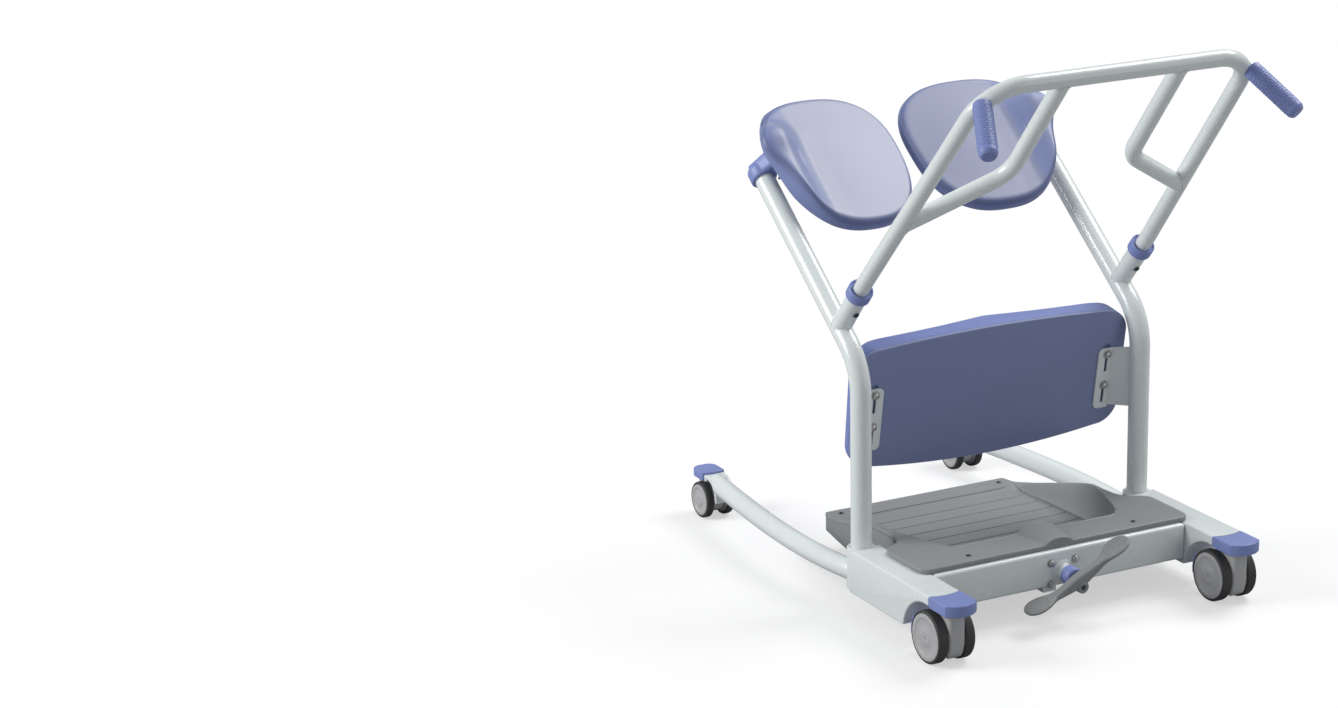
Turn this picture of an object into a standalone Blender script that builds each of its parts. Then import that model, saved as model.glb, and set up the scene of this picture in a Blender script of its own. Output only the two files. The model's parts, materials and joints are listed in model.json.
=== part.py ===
"""Stand aid: a wheeled frame that lifts a seated person to standing and moves them.

The user stands on the foot platform, knees against the knee pad, and sits on the two
half seats. +Z is up, -Y is the user's side and +Y the side of the person who pushes.
Every shape is drawn with Y measured from the column axes. The last step slides the
whole assembly along Y, so that its origin lies on the floor below its middle.
"""

import math

import bmesh
import bpy
from mathutils import Matrix, Vector

# Driving dimensions, in metres. Heights are above the floor.
GAP = 0.0003                 # clearance between pieces that touch
COLUMN_X = 0.314             # from the middle to each column axis: most widths follow it
COLUMN_R = 0.020             # columns and legs are the same tube
COLUMN_CORNER_Z = 0.479      # where column and diagonal would cross unbent
COLUMN_BEND_R = 0.12
DIAGONAL_RISE = math.radians(38.4)
DIAGONAL_LENGTH = 0.486      # from the unbent corner to the end of the tube
SEAT_TUBE_DEPTH = 0.045      # of the diagonal in the seat knuckle
SEAT_LUG_START = DIAGONAL_LENGTH - SEAT_TUBE_DEPTH

BOX_INNER_X = COLUMN_X - 0.034   # side boxes of the chassis
BOX_OUTER_X = COLUMN_X + 0.033
BOX_FRONT_Y = 0.010
BOX_LOW_Z = 0.045
BOX_TOP_Z = 0.1286
LUG_R = 0.0275               # lugs and leg barrel round the column
LUG_H = 0.006
ARCH_Y, ARCH_Z, ARCH_R = 0.277, 0.036, 0.0735
BEAM_FRONT_Y, BEAM_REAR_Y = 0.148, 0.208
BEAM_LOW_Z = 0.058
BEAM_EDGE_R = 0.006

REAR_CAP_FRONT_Y = 0.291
REAR_CAP_SIDE_Y = 0.348
REAR_CAP_SWELL = 0.016       # its end bulges, its front edge is hollow
REAR_CAP_DIP = 0.008
REAR_CAP_LOW_Z = 0.1065
CAP_SKIN = 0.005
STEM_R = 0.006

REAR_KINGPIN_X, REAR_KINGPIN_Y = (BOX_INNER_X + BOX_OUTER_X) / 2, 0.320
REAR_TRAIL = 0.031
REAR_WHEEL_R = 0.050
REAR_WHEEL_W = 0.0220
REAR_FORK_W = 0.0335

LEG_Z = 0.075
LEG_BOW = 0.0265             # how far the leg bows outward
LEG_TOE_X = COLUMN_X - 0.012     # X of the leg at its front end
FRONT_KINGPIN_X, FRONT_KINGPIN_Y = LEG_TOE_X - 0.001, -0.642
FRONT_TRAIL = -0.022         # these wheels stand behind their kingpins
FRONT_WHEEL_R = 0.0375
FRONT_WHEEL_W = 0.0180
FRONT_FORK_W = 0.0275
FRONT_CAP_W = 0.052
FRONT_CAP_Y = (FRONT_KINGPIN_Y - 0.026, FRONT_KINGPIN_Y + 0.030)
FRONT_CAP_Z = (0.0780, 0.0956)
TOE_PLATE_W = 0.044
TOE_PLATE_T = 0.006
TOE_ARC_Y, TOE_ARC_Z, TOE_ARC_R = FRONT_KINGPIN_Y + 0.038, 0.052, 0.0325
LEG_TOE_Y = TOE_ARC_Y + 0.0385   # where the tube meets the toe plate

TREAD = 0.005                # thickness of a tyre
AXLE_R = 0.004

PLATFORM_FRONT_Y = -0.320
PLATFORM_LOW_Z = 0.043
PLATFORM_STEP_Z = 0.080      # front strip
PLATFORM_FLOOR_Z = 0.0764
PLATFORM_SKIN = 0.0045
DECK_REAR_Y = BEAM_REAR_Y - 0.011
DECK_HALF_W = BOX_INNER_X + 0.020    # the deck laps over the side boxes
DECK_CORNER_R = 0.025
DECK_T = 0.0099
DECK_SIDE = ((0.256, 0.033), (0.2475, -0.010), (0.2475, -0.070), (0.246, -0.100))
TRAY_SIDE = ((0.246, 0.030), (0.245, -0.089), (0.2365, -0.163), (0.2235, -0.245))
TRAY_CORNER_X, TRAY_CORNER_R = 0.203, 0.007
WELL_SIDE = ((0.165, 0.115), (0.1875, 0.103), (0.207, 0.060), (0.220, 0.017), (0.233, -0.026),
             (0.231, -0.070), (0.2215, -0.163), (0.2085, -0.240), (0.198, -0.270), (0.180, -0.283))
WELL_DRAFT = 0.006               # lean of the well's walls
HOLLOW_SIDE = ((0.200, 0.090), (0.212, 0.030), (0.2235, -0.030), (0.2235, -0.089),
               (0.2235, -0.163), (0.2185, -0.245))
RAMP = ((-0.285, PLATFORM_STEP_Z), (-0.225, 0.0935), (-0.163, 0.110), (-0.089, 0.130))
RAMP_END_Y = -0.055              # the side walls reach the deck here
BUMP = ((0.10, 0.046, 0.0125), (DECK_REAR_Y - 0.0005, 0.030, 0.0108))   # Y, half width, rise
TREAD_W, TREAD_DEPTH = 0.0018, 0.0012
TREADS = ((-0.260, 0.1900), (-0.215, 0.1980), (-0.171, 0.2030), (-0.127, 0.2080),
          (-0.084, 0.2120), (-0.041, 0.2120), (0.002, 0.2060), (0.045, 0.1930))
RAIL_X, RAIL_W, RAIL_H = 0.185, 0.030, 0.025
SCREW_X = RAIL_X
SCREW_FRONT_Y, SCREW_REAR_Y = -0.2955, 0.1713
SCREW_R = 0.0055

PEDAL_Z = 0.085
PEDAL_Y = 0.262
PEDAL_TILT = math.radians(26.5)
PEDAL_LUG_Z, PEDAL_LUG_R = -0.019, 0.009
PEDAL_STATIONS = (               # along the arm, half width, half height, rise
    (0.000, 0.0120, 0.0130, 0.0000), (0.018, 0.0100, 0.0105, 0.0000), (0.042, 0.0078, 0.0062, 0.0010),
    (0.060, 0.0090, 0.0045, 0.0040), (0.073, 0.0150, 0.0038, 0.0060), (0.086, 0.0205, 0.0036, 0.0080),
    (0.101, 0.0215, 0.0036, 0.0095), (0.114, 0.0170, 0.0034, 0.0105), (0.1225, 0.0080, 0.0030, 0.0115))
BOSS_R, BOSS_END_Y = 0.0165, BEAM_REAR_Y + 0.0175
SHAFT_R = 0.009
BOLT_SPREAD = (0.0268, 0.021)

KNEE_TILT = math.radians(9.5)
KNEE_Z = 0.386               # middle of the knee pad
KNEE_HALF_W = COLUMN_X - 0.010
KNEE_TOP = (0.1225, 0.1085)   # long edges above the middle: half way along, at the ends
KNEE_LOW = (0.1490, 0.1240)   # and below it
KNEE_BACK_Y = -0.0424        # back of the board at KNEE_Z
BOARD_T = 0.009
KNEE_CROWN = 0.060           # front of the pad ahead of the board's back
BRACKET_T = 0.004
BRACKET_X = COLUMN_X - 0.0705
BRACKET_BEND_X = COLUMN_X - 0.042
SLOT_X, SLOT_LEN, SLOT_W = COLUMN_X - 0.052, 0.044, 0.0066
SLOT_TOPS = (0.022, -0.044)  # screws in the slots, along the board from its middle

HANDLE_R = 0.0155            # uprights, crossbar and inner bars
HANDLE_SLOPE = math.radians(49.8)
HANDLE_FOOT = 0.0947         # along the diagonal, from the unbent corner
SOCKET_R = 0.0195
SOCKET_LENGTH = 0.112
COLLAR_R, COLLAR_H = 0.0240, 0.022
HANDLE_TOP_X, HANDLE_TOP_Z = COLUMN_X - 0.031, 1.065
HANDLE_BEND_R = 0.085
INNER_BAR_X, INNER_BAR_BEND_X = 0.124, 0.129
INNER_BAR_DROP = 0.1966          # from the crossbar down to its bend
INNER_BAR_SET = 0.0071           # its bend lies this far behind the uprights
INNER_BAR_LOW_DROP = 0.2906      # and down to where it meets the upright
INNER_BAR_BEND_R = 0.07
GRIP_DROP = 0.0305               # the grips' bars start this far below the crossbar
GRIP_SET = 0.0144                # and behind the uprights
GRIP_REACH = (0.0404, 0.0846, -0.0685)
GRIP_BAR_R, GRIP_R = 0.011, 0.0170
GRIP_HEAD = 0.0045               # of the bar that the sleeve leaves bare

SEAT_TILT = math.radians(5.6)    # inner edges lie lower
SEAT_YAW = math.radians(-3.5)
SEAT_HALF_L, SEAT_HALF_W = 0.1576, 0.148
SEAT_MID_U, SEAT_MID_W = 0.0117, 0.150
SEAT_FLARE = 0.11                # wider towards the front end
SEAT_SKIRT = (0.0235, 0.0475)    # heights of the skirt above the hinge axis
SEAT_CROWN = 0.004
SEAT_RIM = 0.006
SEAT_RECESS_H = SEAT_SKIRT[0] + 0.014
RIB_U = 0.022                    # the ribs spread from here on the knuckle
RIBS = ((0.175, 90, 0.011), (0.135, 52, 0.009), (0.135, 128, 0.009))   # length, heading, half width
KNUCKLE_R, KNUCKLE_L = 0.0325, 0.046

TUBE_SIDES = 14
WHEEL_SIDES = 16

SIDES = {"left": -1, "right": 1}

Y_AXIS = Vector((0, 1, 0))
Z_AXIS = Vector((0, 0, 1))


# Scene helpers

def clear_scene():
    for obj in list(bpy.data.objects):
        bpy.data.objects.remove(obj, do_unlink=True)


def finish(name, colour, roughness, metallic=0.0):
    material = bpy.data.materials.new(name)
    material.use_nodes = True
    shader = material.node_tree.nodes["Principled BSDF"]
    shader.inputs["Base Color"].default_value = (*colour, 1.0)
    shader.inputs["Roughness"].default_value = roughness
    shader.inputs["Metallic"].default_value = metallic
    material.diffuse_color = (*colour, 1.0)
    return material


def pivot(name, place, parent=None):
    """An empty on a joint's axis. All pivots are only moved, never turned."""
    empty = bpy.data.objects.new(name, None)
    empty.empty_display_size = 0.03
    bpy.context.collection.objects.link(empty)
    empty["place"] = tuple(place)
    if parent is None:
        empty.location = place
    else:
        empty.parent = parent
        empty.location = Vector(place) - Vector(parent["place"])
    return empty


def mesh_object(name, bm, parent):
    bmesh.ops.recalc_face_normals(bm, faces=bm.faces)
    bm.transform(Matrix.Translation(-Vector(parent["place"])))
    mesh = bpy.data.meshes.new(name)
    bm.to_mesh(mesh)
    bm.free()
    obj = bpy.data.objects.new(name, mesh)
    bpy.context.collection.objects.link(obj)
    obj.parent = parent
    return obj


def part(name, bm, material, parent, sharp=38):
    obj = mesh_object(name, bm, parent)
    obj.data.materials.append(material)
    obj.data.shade_smooth()
    obj.data.set_sharp_from_angle(angle=math.radians(sharp))
    return obj


def combine(obj, bm, operation):
    """Cut a shape from the object, add it or keep what both share."""
    tool = mesh_object(obj.name + "_tool", bm, obj.parent)
    tool.hide_render = True
    tool.display_type = "WIRE"
    step = obj.modifiers.new(operation.lower(), "BOOLEAN")
    step.operation = operation
    step.object = tool
    return tool


def cut(obj, bm):
    return combine(obj, bm, "DIFFERENCE")


def soften(obj, width, segments=2, angle=50):
    step = obj.modifiers.new("edges", "BEVEL")
    step.width = width
    step.segments = segments
    step.limit_method = "ANGLE"
    step.angle_limit = math.radians(angle)
    return step


# Shape helpers

def loft(rings, closed=False):
    """Skin over rings of equal count. Open lofts get flat ends."""
    bm = bmesh.new()
    layers = [[bm.verts.new(point) for point in ring] for ring in rings]
    following = layers[1:] + (layers[:1] if closed else [])
    for low, high in zip(layers, following):
        for i in range(len(low)):
            j = (i + 1) % len(low)
            bm.faces.new((low[i], low[j], high[j], high[i]))
    if not closed:
        bm.faces.new(layers[0][::-1])
        bm.faces.new(layers[-1])
    return bm


def join(*shapes):
    """Several closed shapes in one mesh, still apart from each other."""
    whole = bmesh.new()
    for shape in shapes:
        mesh = bpy.data.meshes.new("piece")
        shape.to_mesh(mesh)
        shape.free()
        whole.from_mesh(mesh)
        bpy.data.meshes.remove(mesh)
    return whole


def ring(centre, side, up, radius, count, phase=0.5):
    turn = math.tau / count
    return [centre + side * (radius * math.cos((i + phase) * turn))
            + up * (radius * math.sin((i + phase) * turn)) for i in range(count)]


def turned(profile, centre, axis, count, closed=False):
    """Profile points are (radius, distance along the axis)."""
    axis = Vector(axis).normalized()
    side = Y_AXIS if abs(axis.y) < 0.9 else Vector((1, 0, 0))
    side = (side - axis * side.dot(axis)).normalized()
    up = axis.cross(side)
    return loft([ring(Vector(centre) + axis * along, side, up, radius, count)
                 for radius, along in profile], closed)


def cylinder(start, end, radius, count=TUBE_SIDES):
    start, end = Vector(start), Vector(end)
    return turned([(radius, 0.0), (radius, (end - start).length)], start, end - start, count)


def bore_radius(radius, count):
    """Corner radius of a bore whose flats clear a round piece, so that it can turn inside."""
    return (radius + GAP) / math.cos(math.pi / count)


def prism(outline, axis, low, high):
    """An outline in the plane across X, Y or Z, drawn out from low to high."""
    def place(a, b, c):
        return {"X": (c, a, b), "Y": (a, c, b), "Z": (a, b, c)}[axis]
    return loft([[Vector(place(a, b, level)) for a, b in outline] for level in (low, high)])


def box(low, high):
    return prism([(low[0], low[1]), (high[0], low[1]), (high[0], high[1]), (low[0], high[1])],
                 "Z", low[2], high[2])


def arc(centre, radius, start, end, steps):
    """Points on an arc, angles in degrees."""
    angles = [math.radians(start + (end - start) * k / steps) for k in range(steps + 1)]
    return [(centre[0] + radius * math.cos(a), centre[1] + radius * math.sin(a)) for a in angles]


def mirrored(outline):
    """Close an outline drawn for positive X, from back to front."""
    return outline + [(-x, y) for x, y in reversed(outline)]


def bent_path(corners, bend_r, steps=6):
    """Straight runs joined by arcs."""
    path = [corners[0]]
    for before, corner, after in zip(corners, corners[1:], corners[2:]):
        inward, outward = (corner - before).normalized(), (after - corner).normalized()
        turn = inward.angle(outward)
        start = corner - inward * bend_r * math.tan(turn / 2)
        normal = inward.cross(outward).normalized()
        centre = start + normal.cross(inward) * bend_r
        path += [centre + Matrix.Rotation(turn * k / steps, 3, normal) @ (start - centre)
                 for k in range(steps + 1)]
    return path + [corners[-1]]


def tube(path, radius, count=TUBE_SIDES):
    side = (path[1] - path[0]).orthogonal().normalized()
    rings = []
    for i, point in enumerate(path):
        behind = (point - path[i - 1]).normalized() if i else Vector()
        ahead = (path[i + 1] - point).normalized() if i + 1 < len(path) else Vector()
        along = (behind + ahead).normalized()
        side = (side - along * side.dot(along)).normalized()
        rings.append(ring(point, side, along.cross(side), radius, count))
    return loft(rings)


# Shared places

def diagonal_point(side, along):
    """A point on the diagonal's axis, measured from the unbent corner."""
    return Vector((side * COLUMN_X, -along * math.cos(DIAGONAL_RISE),
                   COLUMN_CORNER_Z + along * math.sin(DIAGONAL_RISE)))


def column_path(side):
    foot = Vector((side * COLUMN_X, 0, BOX_LOW_Z))
    return bent_path([foot, diagonal_point(side, 0), diagonal_point(side, DIAGONAL_LENGTH)],
                     COLUMN_BEND_R, 8)


def column_room(side):
    """What the column needs in a piece that it passes through."""
    foot, *rest = column_path(side)
    return tube([foot - Z_AXIS * 0.01] + rest, COLUMN_R + GAP)


def handle_axis(side):
    """Foot of the upright on the diagonal, and the direction it rises in."""
    direction = Vector((0, math.cos(HANDLE_SLOPE), math.sin(HANDLE_SLOPE)))
    return diagonal_point(side, HANDLE_FOOT), direction


def handle_point(side, x, z):
    """A point of the handle frame's sloping plane."""
    foot, rise = handle_axis(side)
    return Vector((side * x, foot.y + (z - foot.z) * rise.y / rise.z, z))


def upright_ends(side):
    """Where an upright starts to lean inwards above its socket, and where it ends on top."""
    foot, rise = handle_axis(side)
    return foot + rise * (SOCKET_LENGTH + 0.03), handle_point(side, HANDLE_TOP_X, HANDLE_TOP_Z)


def handle_path(longer=0.0):
    """The handle frame's bent tube, from one socket to the other."""
    halves = []
    for side in SIDES.values():
        foot, rise = handle_axis(side)
        halves.append([foot + rise * (COLUMN_R + 0.015 - longer), *upright_ends(side)])
    return bent_path(halves[0] + halves[1][::-1], HANDLE_BEND_R, 6)


def upright_point(side, height):
    """A point on the leaning part of an upright."""
    low, top = upright_ends(side)
    return low.lerp(top, (height - low.z) / (top.z - low.z))


# Chassis

def build_chassis(root, paint):
    """Cross-beam between the side boxes, with the two rails under the platform."""
    half = BOX_INNER_X - GAP
    obj = part("chassis", box((-half, BEAM_FRONT_Y, BEAM_LOW_Z), (half, BEAM_REAR_Y, BOX_TOP_Z)),
               paint, root)
    soften(obj, BEAM_EDGE_R, 2)
    rail_top = PLATFORM_FLOOR_Z - PLATFORM_SKIN - GAP
    rail_front = PLATFORM_FRONT_Y + PLATFORM_SKIN + GAP
    for side in SIDES.values():
        inner, outer = sorted((side * (RAIL_X - RAIL_W / 2), side * (RAIL_X + RAIL_W / 2)))
        rail = box((inner, rail_front, rail_top - RAIL_H), (outer, BEAM_FRONT_Y + 0.01, rail_top))
        combine(obj, rail, "UNION")
    for dx in (-1, 1):
        for dz in (-1, 1):
            at = (dx * BOLT_SPREAD[0], BEAM_REAR_Y, PEDAL_Z + dz * BOLT_SPREAD[1])
            nut = [(0.0075, -0.003), (0.0075, 0.0015), (0.0058, 0.0017), (0.0058, 0.0062), (0.004, 0.0085)]
            combine(obj, turned(nut, at, Y_AXIS, 8), "UNION")
    cut(obj, cylinder((0, BEAM_REAR_Y - 0.03, PEDAL_Z), (0, BEAM_REAR_Y + 0.01, PEDAL_Z),
                      bore_radius(SHAFT_R, 12), 12))


def rear_cap_plan(side, spare=0.0):
    """Outline of a rear cap from above. Spare widens it and moves its front edge forward."""
    mid_x = (BOX_INNER_X + BOX_OUTER_X) / 2
    half = (BOX_OUTER_X - BOX_INNER_X) / 2
    rear_r = (half ** 2 + REAR_CAP_SWELL ** 2) / (2 * REAR_CAP_SWELL)
    front_r = (half ** 2 + REAR_CAP_DIP ** 2) / (2 * REAR_CAP_DIP)
    reach = math.degrees(math.asin((half + spare) / rear_r))
    outline = arc((mid_x, REAR_CAP_SIDE_Y + REAR_CAP_SWELL - rear_r), rear_r, 90 - reach, 90 + reach, 8)
    reach = math.degrees(math.asin((half + spare) / front_r))
    outline += arc((mid_x, REAR_CAP_FRONT_Y + REAR_CAP_DIP - front_r - spare), front_r,
                   90 + reach, 90 - reach, 6)
    return [(side * x, y) for x, y in outline]


def build_side_box(name, side, root, paint):
    """Closed box with lugs round the column in front, a wheel arch and the cap's seat behind."""
    arch_top = ARCH_Z + ARCH_R
    start = math.degrees(math.asin((BOX_LOW_Z - ARCH_Z) / ARCH_R))
    end_y = REAR_CAP_FRONT_Y + REAR_CAP_DIP + 0.003
    outline = [(BOX_FRONT_Y, BOX_LOW_Z)]
    outline += arc((ARCH_Y, ARCH_Z), ARCH_R, 180 - start, 84, 9)
    outline += [(end_y, arch_top), (end_y, BOX_TOP_Z), (BOX_FRONT_Y, BOX_TOP_Z)]
    inner, outer = sorted((side * BOX_INNER_X, side * BOX_OUTER_X))
    obj = part(name, prism(outline, "X", inner, outer), paint, root)
    x = side * COLUMN_X
    combine(obj, cylinder((x, 0, BOX_LOW_Z), (x, 0, BOX_TOP_Z), LUG_R, 20), "UNION")
    cut(obj, cylinder((x, 0, BOX_LOW_Z + LUG_H), (x, 0, BOX_TOP_Z - LUG_H), bore_radius(LUG_R, 20), 20))
    cut(obj, column_room(side))
    cut(obj, prism(rear_cap_plan(side, GAP), "Z", REAR_CAP_LOW_Z - 0.002, BOX_TOP_Z + 0.01))
    wall = CAP_SKIN + GAP
    tongue_top = BOX_TOP_Z - wall
    tongue = box((inner + wall, REAR_CAP_FRONT_Y - 0.006, arch_top + 0.0006),
                 (outer - wall, REAR_CAP_SIDE_Y - CAP_SKIN, tongue_top))
    combine(obj, tongue, "UNION")
    stem = (side * REAR_KINGPIN_X, REAR_KINGPIN_Y)
    cut(obj, cylinder((*stem, arch_top - 0.01), (*stem, tongue_top - 0.003), bore_radius(STEM_R, 12), 12))


def build_rear_cap(name, side, root, plastic):
    """Blue cover over the end of a side box, hollow below to take its tongue."""
    obj = part(name, prism(rear_cap_plan(side), "Z", REAR_CAP_LOW_Z, BOX_TOP_Z), plastic, root)
    soften(obj, 0.0015, 1)
    low, high = sorted((side * (BOX_INNER_X + CAP_SKIN), side * (BOX_OUTER_X - CAP_SKIN)))
    room = box((low, REAR_CAP_FRONT_Y - 0.01, REAR_CAP_LOW_Z - 0.01),
               (high, REAR_CAP_SIDE_Y - CAP_SKIN + GAP, BOX_TOP_Z - CAP_SKIN))
    cut(obj, room)
    edge = BOX_TOP_Z - 0.012
    nose = prism([(REAR_CAP_FRONT_Y - 0.01, REAR_CAP_LOW_Z - 0.01)]
                 + [(REAR_CAP_FRONT_Y + 0.012, REAR_CAP_LOW_Z - 0.01)]
                 + arc((REAR_CAP_FRONT_Y + 0.012, edge), 0.0115, 270, 180, 4)
                 + [(REAR_CAP_FRONT_Y - 0.01, edge)], "X", low - 0.02, high + 0.02)
    cut(obj, nose)


# Castors

def build_wheel(name, hub_centre, outward, radius, width, pivot_object, finishes):
    """Disc on the axle pin and the tyre round it. The disc's face has a raised ring."""
    tread, disc_paint = finishes
    rim = radius - TREAD
    face = width - 0.0012
    mid = radius / math.cos(math.pi / WHEEL_SIDES)
    disc = [(AXLE_R + GAP, width * 0.7), (AXLE_R + GAP, 0), (rim - GAP - 0.002, 0), (rim - GAP, 0.002),
            (rim - GAP, width - 0.0015), (rim * 0.78, width), (rim * 0.74, face)]
    tyre = [(rim, 0.001), (mid - 0.003, 0.001), (mid, 0.005), (mid, width - 0.005),
            (mid - 0.003, width - 0.001), (rim, width - 0.001)]
    part(name, turned(disc, hub_centre, outward, WHEEL_SIDES), disc_paint, pivot_object)
    part(name.replace("wheel", "tyre"), turned(tyre, hub_centre, outward, WHEEL_SIDES, closed=True),
         tread, pivot_object)


def fork_outline(kingpin_y, trail, axle_z, wheel_r, top):
    """Side view of the housing between the twin wheels."""
    neck = wheel_r * 0.37
    hub = wheel_r * 0.72
    way = math.copysign(1, trail)
    axle_y = kingpin_y - abs(trail)
    outline = [(kingpin_y + neck, top), (kingpin_y + neck, axle_z)]
    outline += [(kingpin_y + neck * 0.8, axle_z - wheel_r * 0.45),
                (kingpin_y + neck * 0.2, axle_z - wheel_r * 0.72),
                (kingpin_y - neck * 0.5, axle_z - wheel_r * 0.60)]
    outline += arc((axle_y, axle_z), hub, 250, 120, 7)
    outline += [(kingpin_y - neck, min(top - wheel_r * 0.22, axle_z + hub + abs(trail) * 0.2)),
                (kingpin_y - neck, top)]
    return [(kingpin_y + (y - kingpin_y) * way, z) for y, z in outline]


def build_castor(prefix, carrier, kingpin, trail, wheel_r, wheel_w, fork_w, top, stem_top,
                 finishes, brake=False):
    """Swivelling housing with its stem and axle, and two wheels that turn singly."""
    housing, tread, disc, blue = finishes
    x, y = kingpin
    swivel = pivot(prefix + "_swivel_axis", (x, y, top), carrier)
    axle_y = y - trail
    outline = fork_outline(y, trail, wheel_r, wheel_r, top)
    body = part(prefix + "_castor", prism(outline, "X", x - fork_w / 2, x + fork_w / 2),
                housing, swivel)
    soften(body, fork_w * 0.16, 2, 60)
    combine(body, cylinder((x, y, top - 0.01), (x, y, stem_top), STEM_R, 12), "UNION")
    pin = fork_w / 2 + wheel_w * 0.6
    combine(body, cylinder((x - pin, axle_y, wheel_r), (x + pin, axle_y, wheel_r), AXLE_R, 10), "UNION")
    axle = pivot(prefix + "_axle", (x, axle_y, wheel_r), swivel)
    for label, outward in (("inner", -1), ("outer", 1)):
        direction = outward * (1 if x > 0 else -1)
        centre = (x + direction * (fork_w / 2 + GAP * 2), axle_y, wheel_r)
        build_wheel(f"{prefix}_{label}_wheel", centre, (direction, 0, 0), wheel_r, wheel_w, axle,
                    (tread, disc))
    if brake:
        build_brake(prefix + "_brake", x, axle_y, wheel_r, fork_w, wheel_w, axle, blue)


def build_brake(name, x, axle_y, wheel_r, fork_w, wheel_w, axle, blue):
    """Brake pedal: a shoe on the housing's round front, and a wide tread before the wheels."""
    inner = wheel_r * 0.72 + GAP * 2
    shoe = arc((axle_y, wheel_r), inner, 190, 145, 5) + arc((axle_y, wheel_r), wheel_r + 0.004, 145, 190, 5)
    half = fork_w / 2 - 0.001
    obj = part(name, prism(shoe, "X", x - half, x + half), blue, axle)
    low, high = wheel_r + 0.0022, wheel_r + 0.0062
    tread = arc((axle_y, wheel_r), low, 192, 150, 5) + arc((axle_y, wheel_r), high, 150, 192, 5)
    wide = fork_w / 2 + wheel_w * 0.8
    combine(obj, prism(tread, "X", x - wide, x + wide), "UNION")


# Legs

def leg_path(side):
    """The leg bows outward between barrel and toe."""
    steps = 9
    points = []
    for k in range(steps + 1):
        t = k / steps
        x = COLUMN_X + (LEG_TOE_X - COLUMN_X) * t + LEG_BOW * math.sin(math.pi * t ** 0.72)
        points.append(Vector((side * x, (LEG_TOE_Y - 0.04) * t, LEG_Z)))
    return points


def toe_profile():
    """Side view of the toe plate: tongue under the cap, then a quarter turn down."""
    low = FRONT_CAP_Z[0]
    high = TOE_ARC_Z + TOE_ARC_R + TOE_PLATE_T
    front = FRONT_CAP_Y[0] + CAP_SKIN + 0.004
    middle = (TOE_ARC_Y, TOE_ARC_Z)
    outline = [(front, low), (FRONT_CAP_Y[1] + 0.004, low), (TOE_ARC_Y, TOE_ARC_Z + TOE_ARC_R)]
    outline += arc(middle, TOE_ARC_R, 84, 0, 6)
    outline += [(TOE_ARC_Y + TOE_ARC_R + 0.002, TOE_ARC_Z - 0.009),
                (TOE_ARC_Y + TOE_ARC_R + TOE_PLATE_T + 0.002, TOE_ARC_Z - 0.009)]
    outline += arc(middle, TOE_ARC_R + TOE_PLATE_T, 0, 90, 6)
    return outline + [(front, high)]


def build_leg(word, side, root, finishes):
    """Leg tube welded to the barrel that turns on the column, with its toe and castor."""
    paint, blue, castor = finishes
    hinge = pivot(f"leg_{word}_hinge", (side * COLUMN_X, 0, LEG_Z), root)
    obj = part(f"leg_{word}", tube(leg_path(side), COLUMN_R), paint, hinge)
    x = side * COLUMN_X
    low, high = BOX_LOW_Z + LUG_H + GAP, BOX_TOP_Z - LUG_H - GAP
    combine(obj, cylinder((x, 0, low), (x, 0, high), LUG_R, 20), "UNION")
    cut(obj, cylinder((x, 0, low - 0.01), (x, 0, high + 0.01), bore_radius(COLUMN_R, 20), 20))
    past_toe = arc((TOE_ARC_Y, TOE_ARC_Z), TOE_ARC_R + TOE_PLATE_T + GAP, 0, 90, 6)
    room = [(TOE_ARC_Y + TOE_ARC_R + TOE_PLATE_T + 0.0023, TOE_ARC_Z - 0.009)] + past_toe
    room += [(TOE_ARC_Y - 0.02, TOE_ARC_Z + TOE_ARC_R + TOE_PLATE_T + GAP), (TOE_ARC_Y - 0.02, 0)]
    room += [(TOE_ARC_Y + TOE_ARC_R + TOE_PLATE_T + 0.0023, 0)]
    toe_x = side * LEG_TOE_X
    cut(obj, prism(room, "X", toe_x - 0.05, toe_x + 0.05))
    above = box((toe_x - 0.05, LEG_TOE_Y - 0.06, TOE_ARC_Z + TOE_ARC_R + TOE_PLATE_T - 0.001),
                (toe_x + 0.05, TOE_ARC_Y + 0.004, 0.12))
    cut(obj, above)

    king_x = side * FRONT_KINGPIN_X
    half = TOE_PLATE_W / 2
    toe = part(f"toe_plate_{word}", prism(toe_profile(), "X", king_x - half, king_x + half), paint, hinge)
    stem_top = TOE_ARC_Z + TOE_ARC_R + TOE_PLATE_T - 0.003
    cut(toe, cylinder((king_x, FRONT_KINGPIN_Y, 0), (king_x, FRONT_KINGPIN_Y, stem_top),
                      bore_radius(STEM_R, 12), 12))
    build_front_cap(f"front_cap_{word}", king_x, hinge, blue)
    build_castor(f"front_{word}", hinge, (king_x, FRONT_KINGPIN_Y), FRONT_TRAIL, FRONT_WHEEL_R,
                 FRONT_WHEEL_W, FRONT_FORK_W, FRONT_CAP_Z[0] - 0.0005, stem_top - 0.002, castor)


def build_front_cap(name, king_x, hinge, blue):
    """D-shaped blue cover over the toe plate's tongue."""
    half = FRONT_CAP_W / 2
    front, back = FRONT_CAP_Y
    round_r = half * 0.75
    outline = arc((king_x - half + round_r, front + round_r), round_r, 180, 270, 5)
    outline += arc((king_x + half - round_r, front + round_r), round_r, 270, 360, 5)
    outline += [(king_x + half, back - 0.004), (king_x + half * 0.6, back),
                (king_x + half * 0.3, back - 0.002), (king_x - half * 0.3, back - 0.002),
                (king_x - half * 0.6, back), (king_x - half, back - 0.004)]
    obj = part(name, prism(outline, "Z", *FRONT_CAP_Z), blue, hinge)
    soften(obj, 0.0015, 1)
    inner = TOE_PLATE_W / 2 + GAP
    tongue_top = TOE_ARC_Z + TOE_ARC_R + TOE_PLATE_T + GAP
    room = box((king_x - inner, front + CAP_SKIN + 0.004 - GAP, 0), (king_x + inner, back + 0.01, tongue_top))
    cut(obj, room)


# Foot platform and pedal

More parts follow.
